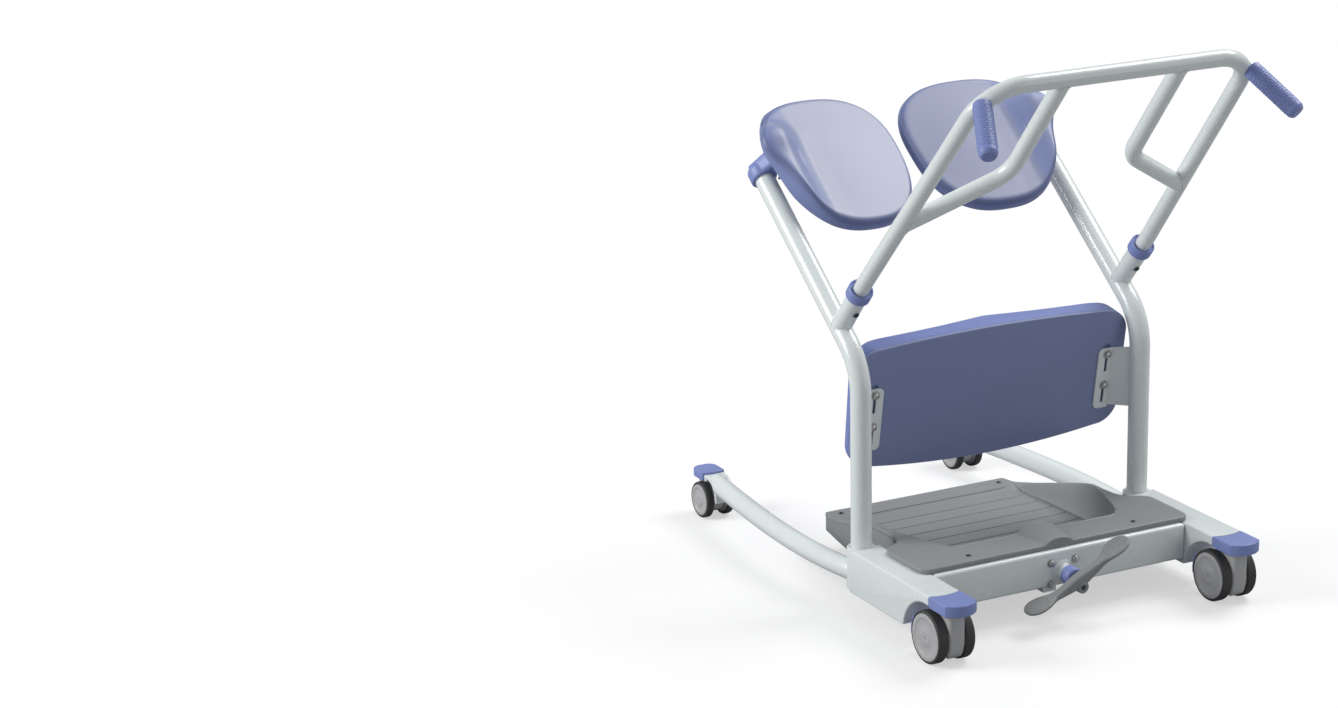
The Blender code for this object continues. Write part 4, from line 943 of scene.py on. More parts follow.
for word, side in SIDES.items():
    along = seat_axes(side)[0]
    pocket = cylinder(KNUCKLE_R + 0.0010, -0.020, 0.060, HINGE_OF[side], along, 48)
    pad = worked(seat_pad(side), ("DIFFERENCE", pocket))
    obj = piece(f"seat_cushion_{word}", pad, SEAT_LILAC, f"half_seat_{word}", f"seat_pad_{word}", sharp=50)
    u, w, h = ((pad[0] - HINGE_OF[side]) @ seat_axes(side).T).T
    drop = seat_top(u, w) - h
    # Masks of painted light: the painted reflection covers the top and fades where it drops away, and the
    # painted shade lies on the shoulder and upper flank.
    point_values(obj, top=(1 - smooth(drop, 0.0002, 0.0022)) * blurred(SEAT_PAINTED_REFLECTION, w, 0.005),
                 brow=smooth(drop, 0.0004, 0.0030) * (1 - 0.85 * smooth(drop, 0.0085, 0.0160)))
tell("seat pads")

# %% [markdown]
# ## Seat knuckles
# The knuckle turns on the end of the diagonal. It is a moulded sleeve with a domed end, a rounded
# web up to the pad and long tapering ribs that carry the pad from below. Each is simple by itself,
# so Boolean unions join them to one body, and the bore is cut last, straight through all of them.


# %% Seat knuckles
KNUCKLE_START, KNUCKLE_DOME, KNUCKLE_DOME_H = 0.016, 0.036, 0.019
RIB_START_U, RIB_START_W, RIB_END_DEPTH = 0.022, 0.024, 0.003
RIBS = ((90, 0.180, 0.011, 0.032), (50, 0.140, 0.0085, 0.030), (130, 0.132, 0.0085, 0.030))
RIB_EDGE = np.array([(1, 0), (1, -0.35), (0.9, -0.7), (0.7, -0.9), (0.35, -1),
                     (-0.35, -1), (-0.7, -0.9), (-0.9, -0.7), (-1, -0.35), (-1, 0)])


def rib(side, heading, length, half, deep):
    """A wedge below the pad: width and depth fall off along it, and its lower edge is rounded."""
    turn = math.radians(heading)
    rings = []
    for t in np.linspace(0, 1, 20):
        run = RIB_START_W + (length - RIB_START_W) * t
        wide = half * (1 - 0.75 * t) * (1 + 0.9 * math.exp(-t * 14))
        depth = (deep - RIB_END_DEPTH) * (1 - t) ** 1.25 + RIB_END_DEPTH
        aside, down = (RIB_EDGE * (wide, depth)).T
        u = RIB_START_U + math.cos(turn) * run - math.sin(turn) * aside
        w = math.sin(turn) * run + math.cos(turn) * aside
        rings.append(seat_place(side, u, w, SEAT_RECESS + under_lift(u, w) - GAP + down))
    return skin(rings)


def web(side):
    """Rounded sections that run from the sleeve's middle up to the pad's hollow."""
    c, s = superellipse(28, 0.5)
    rings = []
    for t in np.linspace(0, 1, 9):
        u = 0.0365 - 0.0035 * t + (0.0180 + 0.003 * t) * c
        w = 0.018 * t + (0.0245 - 0.004 * t) * s
        rings.append(seat_place(side, u, w, 0.001 + (SEAT_RECESS + under_lift(u, w) - 0.0013) * t))
    return skin(rings)


def knuckle(side):
    """The sleeve's dome is a quarter of an ellipse. The bore ends where the diagonal does."""
    dome = [(KNUCKLE_R * math.cos(a), KNUCKLE_DOME + KNUCKLE_DOME_H * math.sin(a))
            for a in np.radians(np.linspace(0, 89.9, 14))]
    profile = [(CENTRE, KNUCKLE_START), (KNUCKLE_R - 0.0026, KNUCKLE_START),
               (KNUCKLE_R - 0.0010, KNUCKLE_START + 0.0008), (KNUCKLE_R, KNUCKLE_START + 0.0028)] + dome
    along = seat_axes(side)[0]
    hole = cylinder(COLUMN_R + GAP, -0.060, DIAGONAL_LENGTH - SEAT_LUG_START + GAP, HINGE_OF[side], along, 56)
    return worked(turned(profile, HINGE_OF[side], along, 56), ("UNION", web(side)),
                  *[("UNION", rib(side, *sizes)) for sizes in RIBS], ("DIFFERENCE", hole))


for word, side in SIDES.items():
    rider = f"half_seat_{word}"
    piece(f"seat_knuckle_{word}", knuckle(side), BLUE, rider, f"seat_arm_{word}", sharp=40)
    out = unit(seat_place(side, 0.0, -0.45, -0.9) - HINGE_OF[side])
    at = seat_place(side, 0.028, 0.0, 0.0) + out * (KNUCKLE_R - 0.0012)
    piece(f"knuckle_screw_{word}", screw_head(at, out, 0.0042, 0.0018), STEEL, rider, slot="steel")
tell("seat knuckles")

# %% [markdown]
# ## Knee pad
# The pad is a moulded foam block on a dark board. Its front has a ridge in the middle and a
# shallow trough for each shin, its long edges bow, and every front edge is generously rounded. A
# bevelled box would give the edges but not the troughs. The surface is stacked from rings of the
# outline instead, and each ring's depth is a share of the local depth of the front.

# %% Sizes of the knee pad
KNEE_TILT, KNEE_Z, KNEE_BACK_Y, KNEE_HALF_W = math.radians(9.5), 0.386, -0.0424, 0.304
KNEE_TOP, KNEE_LOW, KNEE_SHOULDER = (0.1225, 0.1085), (0.1490, 0.1240), 0.0105
BOARD_T, BRACKET_T = 0.009, 0.004
KNEE_FRONT = [(-0.05, 0.0550), (0, 0.0605), (0.050, 0.0545), (0.100, 0.0505), (0.150, 0.0495),
              (0.200, 0.0515), (0.243, 0.0550), (0.262, 0.0515), (0.310, 0.0330)]
SLOT_X, SLOT_LEN, SLOT_W, SLOT_TOPS = 0.262, 0.044, 0.0066, (0.022, -0.044)
POCKET_R, POCKET_LOW, POCKET_HIGH, POCKET_DEEP = 0.0085, -0.0800, 0.0340, 0.0040
BRACKET_X, BRACKET_BEND_X = 0.2435, 0.272


def knee_place(x, s, depth):
    """x across, s up the board, depth ahead of the board's back."""
    up = (0, math.sin(KNEE_TILT), math.cos(KNEE_TILT))
    front = (0, -math.cos(KNEE_TILT), math.sin(KNEE_TILT))
    axes = np.array([ACROSS, up, front])
    return np.array([0, KNEE_BACK_Y, KNEE_Z]) + np.stack(np.broadcast_arrays(x, s, depth), -1) @ axes


def knee_prism(outline, low, high):
    """An outline on the board's face, drawn out between two depths."""
    return skin([knee_place(*np.array(outline).T, depth) for depth in (low, high)])


# %% Knee cushion
def knee_ring(inset=0.0):
    """Barrel outline: long edges bow as a parabola and meet the short ones in round corners."""
    corner, end_x = max(0.048 - inset * 0.5, 0.012), KNEE_HALF_W - inset

    def quarter(middle, end):
        """Half of a long edge and the corner at its end."""
        def edge(x):
            return middle - inset - (middle - end) * (x / KNEE_HALF_W) ** 2
        flat = [(x, edge(x)) for x in np.linspace(0, end_x - corner, 34)[1:-1]]
        return flat + arc((end_x - corner, edge(end_x - corner) - corner), corner, 90, 6, 14)

    right = quarter(*KNEE_TOP) + [(x, -s) for x, s in reversed(quarter(*KNEE_LOW))]
    left = [(-x, s) for x, s in reversed(right)]
    return np.array([(0.0, KNEE_TOP[0] - inset)] + right + [(0.0, inset - KNEE_LOW[0])] + left)


def knee_front(x, s):
    """Depth of the front: a sharp ridge, a trough, a fold near the end and a fall beyond it."""
    depth = blurred(KNEE_FRONT, np.abs(x), np.minimum(0.016, 0.002 + np.abs(x) * 0.4)[..., None])
    thin_end = smooth(np.abs(x), 0.225, 0.300) * (1 - smooth(s, -0.135, -0.010))
    return depth * (1 - 0.42 * thin_end) - 0.003 * ((s + 0.012) / 0.13) ** 2


def knee_cushion():
    """Rings of (x, s) with a share of the depth each: the sides, the shoulder and the front,
    which ends in a strip that is drawn in to a line."""
    steps = [(0.0012, 0.0), (0.0003, 0.01), (0, 0.05), (0, 0.3)]
    steps += [(KNEE_SHOULDER * (1 - math.cos(a)), 0.80 + 0.180 * math.sin(a))
              for a in np.radians(np.linspace(0, 84, 12))]
    steps += [(0.0115, 0.983), (0.018, 0.988), (0.027, 0.993), (0.040, 0.997), (0.060, 1.0), (0.076, 1.0),
              (0.092, 1.0), (0.104, 1.0)]
    rings = [(knee_ring(inset), share) for inset, share in steps]
    strip = knee_ring(0.104)
    middle = np.array([0.0, (KNEE_TOP[0] - KNEE_LOW[0]) / 2])
    rings += [(middle + (strip - middle) * (1.0, share), 1.0) for share in (0.75, 0.5, 0.25, 0.03)]
    low = BOARD_T + GAP
    return skin([knee_place(*ring.T, low + (knee_front(*ring.T) - low) * share) for ring, share in rings])


piece("knee_cushion", knee_cushion(), KNEE_BLUE, "knee_rest", "knee_pad", sharp=60)
tell("knee cushion")

# %% Knee board and its bolts
board_steps = [(0.0015, 0.0), (0.0006, 0.0003), (0.0002, 0.0010), (0.0002, BOARD_T - 0.0006),
               (0.0006, BOARD_T)]
board = skin([knee_place(*knee_ring(inset).T, depth) for inset, depth in board_steps])
for side in SIDES.values():
    pocket = slot_outline(side * SLOT_X, POCKET_LOW, POCKET_HIGH, POCKET_R, 12)
    board = worked(board, ("DIFFERENCE", knee_prism(pocket, POCKET_DEEP, -0.01)))
piece("knee_backing", board, BOARD_BLUE, "knee_rest", "knee_board", sharp=50)

shank = SLOT_W / 2 - GAP
washer = [(shank, 0), (0.0088, 0), (0.0088, 0.0013), (0.0084, 0.0017), (shank, 0.0018)]
head = [(shank, -0.0045), (shank, 0.0018), (0.0062, 0.0019), (0.0066, 0.0024), (0.0066, 0.0046)]
head += [(0.0066 * math.cos(a), 0.0046 + 0.0026 * math.sin(a)) for a in np.radians([25, 50, 70])]
head += [(0.0021, 0.0072), (0.0020, 0.0058), (CENTRE, 0.0056)]
back = knee_place(0.0, 0.0, -1.0) - knee_place(0.0, 0.0, 0.0)
for word, side in SIDES.items():
    for k, s in enumerate(SLOT_TOPS):
        at = knee_place(side * SLOT_X, s, -BRACKET_T - 2 * GAP)
        bolt = merged(turned(washer, at, back, 36, closed=True), turned(head, at, back, 36))
        piece(f"knee_bolt_{word}_{k}", bolt, STEEL, "knee_rest", slot="steel")
tell("knee board and bolts")

# %% [markdown]
# ## Knee brackets
# A 4 mm plate is welded to each column and bent flat behind the board, and two slots let the pad
# slide down. A Solidify modifier on a flat shape could give the plate. Here the panel and the wing
# to the column are drawn as closed shapes and joined, so the slots can be cut right through, and a
# small Bevel breaks the sharp edges last.


# %% Knee brackets
BRACKET_LOW, BRACKET_HIGH, BRACKET_CORNER, BRACKET_WELD_Y = -0.094, 0.034, 0.010, (-0.008, -0.004)


def bracket_wing(side, near, far):
    """From the panel's edge to the column: four corners at the bend and four on the tube."""
    high, low = BRACKET_HIGH, BRACKET_LOW
    depths = np.array([near, far, far, near])
    bend = knee_place(side * BRACKET_BEND_X, np.repeat([high - 0.0003, low + 0.006], 2), depths)
    tube = knee_place(side * (COLUMN_X - COLUMN_R * 0.6), np.repeat([high + 0.003, low + 0.010], 2), depths)
    tube[:, 1] = np.take(BRACKET_WELD_Y, [0, 1, 1, 0])
    return skin([bend, tube])


def bracket(side):
    near, far, corner = -GAP, -GAP - BRACKET_T, BRACKET_CORNER
    x, past = BRACKET_X + corner, BRACKET_BEND_X + 0.004
    panel = arc((x, BRACKET_HIGH - corner), corner, 180, 90, 6) + [(past, BRACKET_HIGH), (past, BRACKET_LOW)]
    panel += arc((x, BRACKET_LOW + corner), corner, 270, 180, 6)
    slots = []
    for top in SLOT_TOPS:
        slot = slot_outline(side * SLOT_X, top - SLOT_LEN + SLOT_W + 0.002, top + GAP, SLOT_W / 2, 8)
        slots.append(("DIFFERENCE", knee_prism(slot, far - 0.01, near + 0.01)))
    flat = knee_prism(np.array(panel) * (side, 1), far, near)
    return worked(flat, ("UNION", bracket_wing(side, near, far)), *slots)


for word, side in SIDES.items():
    obj = piece(f"bracket_{word}", bracket(side), PAINT, "base", f"knee_bracket_{word}")
    edges = obj.modifiers.new("edges", "BEVEL")
    edges.width, edges.segments, edges.harden_normals = 0.0006, 2, True
    edges.limit_method, edges.angle_limit = "ANGLE", math.radians(35)
tell("knee brackets")

# %% [markdown]
# ## Foot platform
# One moulded tray: a deck over the chassis and a well for the feet whose walls run down to a low
# floor that is open at the front. Booleans could cut a well in a slab, but its drafted walls flow
# into the rim without an edge. So the top is a height field over a grid that follows the well's
# sides: walls, fillets, the channel at their foot and the tread lines are one formula. The
# boundary of the grid is then carried round the edge, down the skirt and back inside.

# %% Sizes of the tray
BEAM_FRONT_Y, BEAM_REAR_Y, BEAM_LOW_Z = 0.148, 0.208, 0.058
DECK_LOW_Z, DECK_TOP_Z = BOX_TOP_Z + GAP, BOX_TOP_Z + GAP + 0.0099
TRAY_FRONT_Y, DECK_REAR_Y, TRAY_LOW_Z, FLOOR_Z = -0.320, 0.197, 0.043, 0.0764
TRAY_UNDER_Z = FLOOR_Z - 0.0045
EDGE_R, WALL_SLOPE, CHANNEL_DEEP, TREAD_DEEP = 0.0030, 5.2, 0.0018, 0.0014
SWELL_HALF, SWELL_H = 0.046, 0.0160
OUTER = [(-0.320, 0.206), (-0.3165, 0.2095), (-0.310, 0.2115), (-0.245, 0.2235), (-0.163, 0.2365),
         (-0.089, 0.2455), (-0.040, 0.2475), (-0.010, 0.2478), (0.018, 0.2505), (0.038, 0.2585),
         (0.050, 0.274), (0.058, 0.290), (0.066, 0.2985), (0.080, 0.300), (0.172, 0.300),
         (0.184, 0.2975), (0.1915, 0.2915), (0.1955, 0.283), (0.197, 0.275)]
SKIRT = [(-0.320, 0.2045), (-0.3165, 0.2085), (-0.310, 0.211), (-0.245, 0.2232), (-0.163, 0.2362),
         (-0.089, 0.2447), (0.030, 0.2457), (0.140, 0.2432), (0.1477, 0.2425)]
INSIDE = [(-0.3155, 0.200), (-0.300, 0.207), (-0.245, 0.2185), (-0.163, 0.2235), (-0.030, 0.2235),
          (0.030, 0.212), (0.090, 0.200), (0.143, 0.200)]
RIM = [(-0.320, 0.080), (-0.285, 0.080), (-0.225, 0.0935), (-0.163, 0.110), (-0.089, 0.130),
       (-0.052, DECK_TOP_Z), (0.2, DECK_TOP_Z)]
WELL = [(-0.284, 0.170), (-0.282, 0.184), (-0.270, 0.198), (-0.240, 0.2085), (-0.163, 0.2215),
        (-0.070, 0.231), (-0.026, 0.233), (0.017, 0.221), (0.060, 0.207), (0.095, 0.193),
        (0.108, 0.182), (0.1145, 0.168)]
TREADS = ((-0.260, 0.1900), (-0.215, 0.1980), (-0.171, 0.2030), (-0.127, 0.2080),
          (-0.084, 0.2120), (-0.041, 0.2120), (0.002, 0.2060), (0.045, 0.1930))
TRAY_SCREW_X, TRAY_SCREWS = 0.185, (("front", -0.2955, 0.080), ("rear", 0.1713, DECK_TOP_Z))
print("tray from Y", TRAY_FRONT_Y, "to", DECK_REAR_Y, "with", len(TREADS), "treads")


# %% Height of the tray's top
def soft_min(a, b, k):
    """The lower of two heights, blended where they differ by less than k."""
    h = np.clip(0.5 + 0.5 * (b - a) / k, 0, 1)
    return b + (a - b) * h - k * h * (1 - h) * 0.5


def inside_well(x, y):
    """Distance to the well's outline, positive inside it."""
    right = np.array([(w, v) for v, w in WELL])
    loop = np.vstack([right, right[::-1] * (-1, 1)])
    near = np.full(x.shape, 1.0)
    crossings = np.zeros(x.shape, int)
    for (ax, ay), (bx, by) in zip(loop, np.roll(loop, -1, axis=0)):
        dx, dy = bx - ax, by - ay
        t = np.clip(((x - ax) * dx + (y - ay) * dy) / (dx * dx + dy * dy), 0, 1)
        near = np.minimum(near, np.hypot(x - ax - t * dx, y - ay - t * dy))
        crossings += ((ay > y) != (by > y)) & (x < ax + (y - ay) / (by - ay + 1e-12) * dx)
    return np.where(crossings % 2 == 1, near, -near)


def tread_lines(x, y, inward):
    """Each line is a sharp step in front and a slow run-up behind, and bends a little at its ends."""
    groove = np.zeros(x.shape)
    for line, reach in TREADS:
        away = y - line + 0.004 * smooth(np.abs(x), reach - 0.030, reach + 0.004)
        width = smooth(reach - np.abs(x), -0.002, 0.004) * smooth(inward, 0.020, 0.023)
        groove += width * bell(np.minimum(away, 0), 0, 0.0008) * bell(np.maximum(away, 0), 0, 0.0026)
    return groove


def tray_height(x, y):
    """Rim and swell, a steep wall and the floor, blended; then the channel and the treads. The
    floor rises to the rim at the open front."""
    half = SWELL_HALF - 0.016 * (y - 0.10) / 0.097
    rise = (SWELL_H - 0.06 * np.maximum(y - 0.115, 0)) * smooth(y, 0.085, 0.112)
    rim = blurred(RIM, y, 0.012) + rise * (1 - np.clip(x / half, -1, 1) ** 2) ** 0.75
    inward = inside_well(x, y)
    open_front = smooth(-y, 0.236, 0.276)
    floor = FLOOR_Z - CHANNEL_DEEP * (1 - smooth(inward, 0.0185, 0.0215)) * (1 - open_front)
    floor = floor + (rim - floor) * open_front
    soft = np.clip((rim - floor) * 0.95, 0.0002, 0.030)
    wall = rim - WALL_SLOPE * (inward + 0.001)
    height = -soft_min(-soft_min(rim, wall, soft), -floor, soft)
    groove = tread_lines(x, y, inward)
    return height - TREAD_DEEP * groove, groove


# %% Grid of the tray's top
def tray_rows():
    """Rows along Y, closer where the top bends and closest across each tread line."""
    runs = ((TRAY_FRONT_Y + EDGE_R, -0.292, 8), (-0.290, -0.264, 20), (-0.26, 0.084, 92),
            (0.086, 0.124, 34), (0.128, 0.170, 10), (0.172, DECK_REAR_Y - EDGE_R, 14))
    rows = np.concatenate([np.linspace(*run) for run in runs]
                          + [line + np.linspace(-0.0052, 0.0030, 15) for line, _ in TREADS])
    rows = np.unique(np.round(rows, 5))
    return rows[np.concatenate([[True], np.diff(rows) > 0.00025])]


def tray_grid(rows, outer):
    """Columns at equal shares of three spans: middle to well, the wall, and the rim."""
    well = np.minimum(blurred(WELL, rows, 0.010), outer - 0.012)
    share = np.concatenate([np.linspace(0, 1, 50)[:-1], np.linspace(1, 2, 26)[:-1], np.linspace(2, 3, 13)])
    edges = np.stack([np.zeros_like(rows), well - 0.026, well + 0.005, outer])
    half = np.array([np.interp(share, range(4), edge) for edge in edges.T])
    x = np.concatenate([-half[:, :0:-1], half], axis=1)
    return x, np.repeat(rows[:, None], x.shape[1], axis=1)


# %% Edge, skirt and underside of the tray
def tray_sides(edge, rows, outer):
    """Rings below the grid's boundary: a quarter round, the lip, the skirt and the inside."""
    ahead = np.roll(edge, -1, 0) - np.roll(edge, 1, 0)
    normal = np.column_stack([ahead[:, 1], -ahead[:, 0], np.zeros(len(edge))])
    normal /= np.linalg.norm(normal, axis=1)[:, None]
    rings = [edge + EDGE_R * (normal * math.sin(a) - np.array(UPWARD) * (1 - math.cos(a)))
             for a in np.radians([22, 45, 68, 90])]
    lip = rings[-1].copy()
    lip[:, 2] = np.minimum(edge[:, 2] - 0.0060, DECK_LOW_Z + 0.0012)
    low = lip - 0.0012 * (normal + UPWARD)
    share = (edge[:, 1] - rows[0]) / (rows[-1] - rows[0])
    across = edge[:, 0] / np.interp(edge[:, 1], rows, outer)

    def mapped(side_table, z, shrink=0.0):
        """The boundary laid on another outline, at the same shares of its length and width."""
        start, end = side_table[0][0], side_table[-1][0]
        y = start + (end - start) * share
        return np.column_stack([across * (table(side_table, y) - shrink), y, np.broadcast_to(z, len(y))])

    skirt = [mapped(SKIRT, low[:, 2]), mapped(SKIRT, TRAY_LOW_Z + 0.002), mapped(SKIRT, TRAY_LOW_Z, 0.0015)]
    return rings + [lip, low] + skirt + [mapped(INSIDE, TRAY_LOW_Z), mapped(INSIDE, TRAY_UNDER_Z)]


def tray():
    """The grid's quads, the sides' quads and one face that closes the underside."""
    rows = tray_rows()
    outer = blurred(OUTER, rows, 0.004) - EDGE_R
    x, y = tray_grid(rows, outer)
    z, groove = tray_height(x, y)
    count_y, count_x = x.shape
    grid = np.stack([x, y, z], -1).reshape(-1, 3)
    i, j = np.meshgrid(np.arange(count_y - 1), np.arange(count_x - 1), indexing="ij")
    at = i * count_x + j
    faces = np.stack([at, at + 1, at + 1 + count_x, at + count_x], -1).reshape(-1, 4).tolist()
    loop = np.concatenate([np.arange(count_x), np.arange(1, count_y) * count_x + count_x - 1,
                           (count_y - 1) * count_x + np.arange(count_x - 2, -1, -1),
                           np.arange(count_y - 2, 0, -1) * count_x])
    points, before = [grid], loop
    for k, ring in enumerate(tray_sides(grid[loop], rows, outer)):
        now = len(grid) + k * len(loop) + np.arange(len(loop))
        faces += np.stack([before, now, np.roll(now, -1), np.roll(before, -1)], -1).tolist()
        points.append(ring)
        before = now
    faces.append(before[::-1].tolist())
    points = np.vstack(points)
    return (points, faces), np.pad(groove.ravel(), (0, len(points) - groove.size))


shape, groove = tray()
# The grooves' depth also sets the painted shade in the tray's finish.
point_values(piece("foot_tray", shape, TRAY_GREY, "base", "foot_platform", sharp=58), groove=groove)
for word, side in SIDES.items():
    for label, y, z in TRAY_SCREWS:
        head = screw_head((side * TRAY_SCREW_X, y, z - 0.0002), UPWARD, 0.0052, 0.0016)
        piece(f"tray_screw_{label}_{word}", head, BLACK_STEEL, "base", slot="steel")
tell("foot platform")

# %% [markdown]
# ## Chassis
# A rectangular cross-member joins two closed side boxes. Each box carries lugs round its column in
# front, an arch over the rear castor and the seat of a blue end cap. These are cut and folded metal
# boxes, so they are made as in a workshop: a solid is drawn, its edges are rounded, then it is cut.
# The bores follow the column, so the pieces still fit when a size changes.

# %% Sizes of the chassis
BOX_INNER_X, BOX_OUTER_X, BOX_FRONT_Y, BOX_ROUND = 0.280, 0.347, 0.010, 0.0035
LUG_R, LUG_H = 0.0275, 0.006
ARCH_Y, ARCH_Z, ARCH_R = 0.277, 0.036, 0.0735
CAP_FRONT_Y, CAP_SIDE_Y, CAP_SWELL, CAP_DIP = 0.291, 0.348, 0.016, 0.008
CAP_LOW_Z, CAP_SKIN = 0.1065, 0.005
PEDAL_Z, PEDAL_Y, SHAFT_R, BOSS_R = 0.085, 0.262, 0.009, 0.0165
BOSS_END_Y = 0.2255
BOLT_X, BOLT_Z = 0.0268, 0.021
RAIL_X, RAIL_HALF, RAIL_H = 0.185, 0.015, 0.025
TAB_LOW, TAB_HIGH = (0.012, 0.182, 0.0482), (0.041, 0.205, BEAM_LOW_Z + 0.0006)


def upright(shape, x):
    """A profile turned round an upright line through a column."""
    return turned(shape, (x, 0, 0), UPWARD, 72)


# %% Side boxes and rear caps
def cap_plan(side, spare=0.0):
    """A rear cap from above: its end bulges and its front edge is hollow, each as an arc whose
    radius is (half^2 + rise^2) / (2 rise)."""
    middle, half = (BOX_INNER_X + BOX_OUTER_X) / 2, (BOX_OUTER_X - BOX_INNER_X) / 2
    rear_r, front_r = [(half ** 2 + rise ** 2) / (2 * rise) for rise in (CAP_SWELL, CAP_DIP)]
    reach = math.degrees(math.asin((half + spare) / rear_r))
    outline = arc((middle, CAP_SIDE_Y + CAP_SWELL - rear_r), rear_r, 90 - reach, 90 + reach, 28)
    reach = math.degrees(math.asin((half + spare) / front_r))
    outline += arc((middle, CAP_FRONT_Y + CAP_DIP - front_r - spare), front_r, 90 + reach, 90 - reach, 20)
    return [(side * x, y) for x, y in outline]


def side_box(side):
    arch_top, end_y = ARCH_Z + ARCH_R, CAP_FRONT_Y + CAP_DIP + 0.003
    start = math.degrees(math.asin((BOX_LOW_Z - ARCH_Z) / ARCH_R))
    outline = [(BOX_FRONT_Y, BOX_LOW_Z)] + arc((ARCH_Y, ARCH_Z), ARCH_R, 180 - start, 84, 32)
    outline += [(end_y, arch_top), (end_y, BOX_TOP_Z), (BOX_FRONT_Y, BOX_TOP_Z)]
    inner, outer = sorted((side * BOX_INNER_X, side * BOX_OUTER_X))
    x, wall = side * COLUMN_X, CAP_SKIN + GAP
    lug = [(CENTRE, BOX_LOW_Z), (LUG_R - 0.0012, BOX_LOW_Z), (LUG_R, BOX_LOW_Z + 0.0012),
           (LUG_R, BOX_TOP_Z - 0.0022), (LUG_R - 0.0022, BOX_TOP_Z), (CENTRE, BOX_TOP_Z)]
    space = [(LUG_R + 0.0005, BOX_LOW_Z + LUG_H), (LUG_R + 0.0005, BOX_TOP_Z - LUG_H)]
    column = [(COLUMN_R + GAP, 0), (COLUMN_R + GAP, 0.3)]
    tongue = block((inner + wall, CAP_FRONT_Y - 0.006, arch_top + 0.0006),
                   (outer - wall, CAP_SIDE_Y - CAP_SKIN, BOX_TOP_Z - wall))
    cap_room = prism(cap_plan(side, GAP), "Z", CAP_LOW_Z - 0.002, BOX_TOP_Z + 0.01)
    return worked(prism(outline, "X", inner, outer), ("ROUND", (BOX_ROUND, 4, 50)),
                  ("UNION", upright(lug, x)), ("DIFFERENCE", upright(space, x)),
                  ("DIFFERENCE", upright(column, x)), ("DIFFERENCE", cap_room), ("UNION", tongue))


def rear_cap(side):
    low, high = sorted((side * (BOX_INNER_X + CAP_SKIN), side * (BOX_OUTER_X - CAP_SKIN)))
    front, under = CAP_FRONT_Y - 0.01, CAP_LOW_Z - 0.01
    room = block((low, front, under), (high, CAP_SIDE_Y - CAP_SKIN + GAP, BOX_TOP_Z - CAP_SKIN))
    nose_y, nose_z = CAP_FRONT_Y + 0.012, BOX_TOP_Z - 0.012
    outline = [(front, under), (nose_y, under)] + arc((nose_y, nose_z), 0.0115, 270, 180, 14)
    nose = prism(outline + [(front, nose_z)], "X", low - 0.02, high + 0.02)
    return worked(prism(cap_plan(side), "Z", CAP_LOW_Z, BOX_TOP_Z), ("ROUND", (0.0030, 4, 50)),
                  ("DIFFERENCE", room), ("DIFFERENCE", nose))


for word, side in SIDES.items():
    piece(f"side_beam_{word}", side_box(side), PAINT, "base", f"side_box_{word}", sharp=35)
    piece(f"end_cap_{word}", rear_cap(side), BLUE, "base", f"rear_cap_{word}", sharp=35)
tell("side boxes and caps")

# %% Cross-member, its bolts and the boss
half, rail_top = BOX_INNER_X - GAP, TRAY_UNDER_Z - GAP
rails = [block((x - RAIL_HALF, TRAY_FRONT_Y + 0.0048, rail_top - RAIL_H),
               (x + RAIL_HALF, BEAM_FRONT_Y + 0.01, rail_top)) for x in (-RAIL_X, RAIL_X)]
beam = block((-half, BEAM_FRONT_Y, BEAM_LOW_Z), (half, BEAM_REAR_Y, BOX_TOP_Z))
shaft_axis = (0, BEAM_REAR_Y, PEDAL_Z)
beam = worked(beam, ("ROUND", (0.006, 5, 50)), ("UNION", rails[0]), ("UNION", rails[1]),
              ("DIFFERENCE", cylinder(SHAFT_R + GAP, -0.03, 0.01, shaft_axis, REARWARD)))
piece("cross_member", beam, PAINT, "base", "chassis", sharp=35)
piece("beam_tab", worked(block(TAB_LOW, TAB_HIGH), ("ROUND", (0.0015, 3, 50))), PAINT, "base")

washer = [(CENTRE, 0), (0.0080, 0), (0.0080, 0.0010), (0.0074, 0.0015), (CENTRE, 0.0016)]
nut = [(CENTRE, 0.0012), (0.0058, 0.0012), (0.0062, 0.0018), (0.0062, 0.0052), (0.0056, 0.0060),
       (0.0040, 0.0061), (0.0038, 0.0078), (0.0030, 0.0086), (CENTRE, 0.0087)]
for i, dx in enumerate((-BOLT_X, BOLT_X)):
    for k, dz in enumerate((-BOLT_Z, BOLT_Z)):
        at = (dx, BEAM_REAR_Y, PEDAL_Z + dz)
        bolt = merged(turned(washer, at, REARWARD, 36), turned(nut, at, REARWARD, 36))
        piece(f"boss_bolt_{i}{k}", bolt, STEEL, "base", slot="steel")

boss_end = BOSS_END_Y - BEAM_REAR_Y
boss = [(SHAFT_R + GAP, GAP), (BOSS_R + 0.0068, GAP), (BOSS_R + 0.0070, 0.0012), (BOSS_R + 0.0062, 0.0024),
        (BOSS_R + 0.0030, 0.0032), (BOSS_R + 0.0010, 0.0046), (BOSS_R, 0.0070), (BOSS_R, boss_end - 0.0012),
        (BOSS_R - 0.0010, boss_end), (SHAFT_R + GAP, boss_end)]
piece("shaft_boss", turned(boss, shaft_axis, REARWARD, 72, closed=True), PAINT, "base", "pedal_boss")
tell("cross-member and boss")

# %% [markdown]
# ## Pedal
# A rocker on a shaft through the cross-member. Pressing one end spreads the legs, the other closes
# them. It could be modelled flat and bent with a modifier. It is a stack of rounded sections along
# X instead, thin at its neck and wide at its two ribbed treads, so that each station of the real
# one can be set by itself. It lies turned on its shaft.

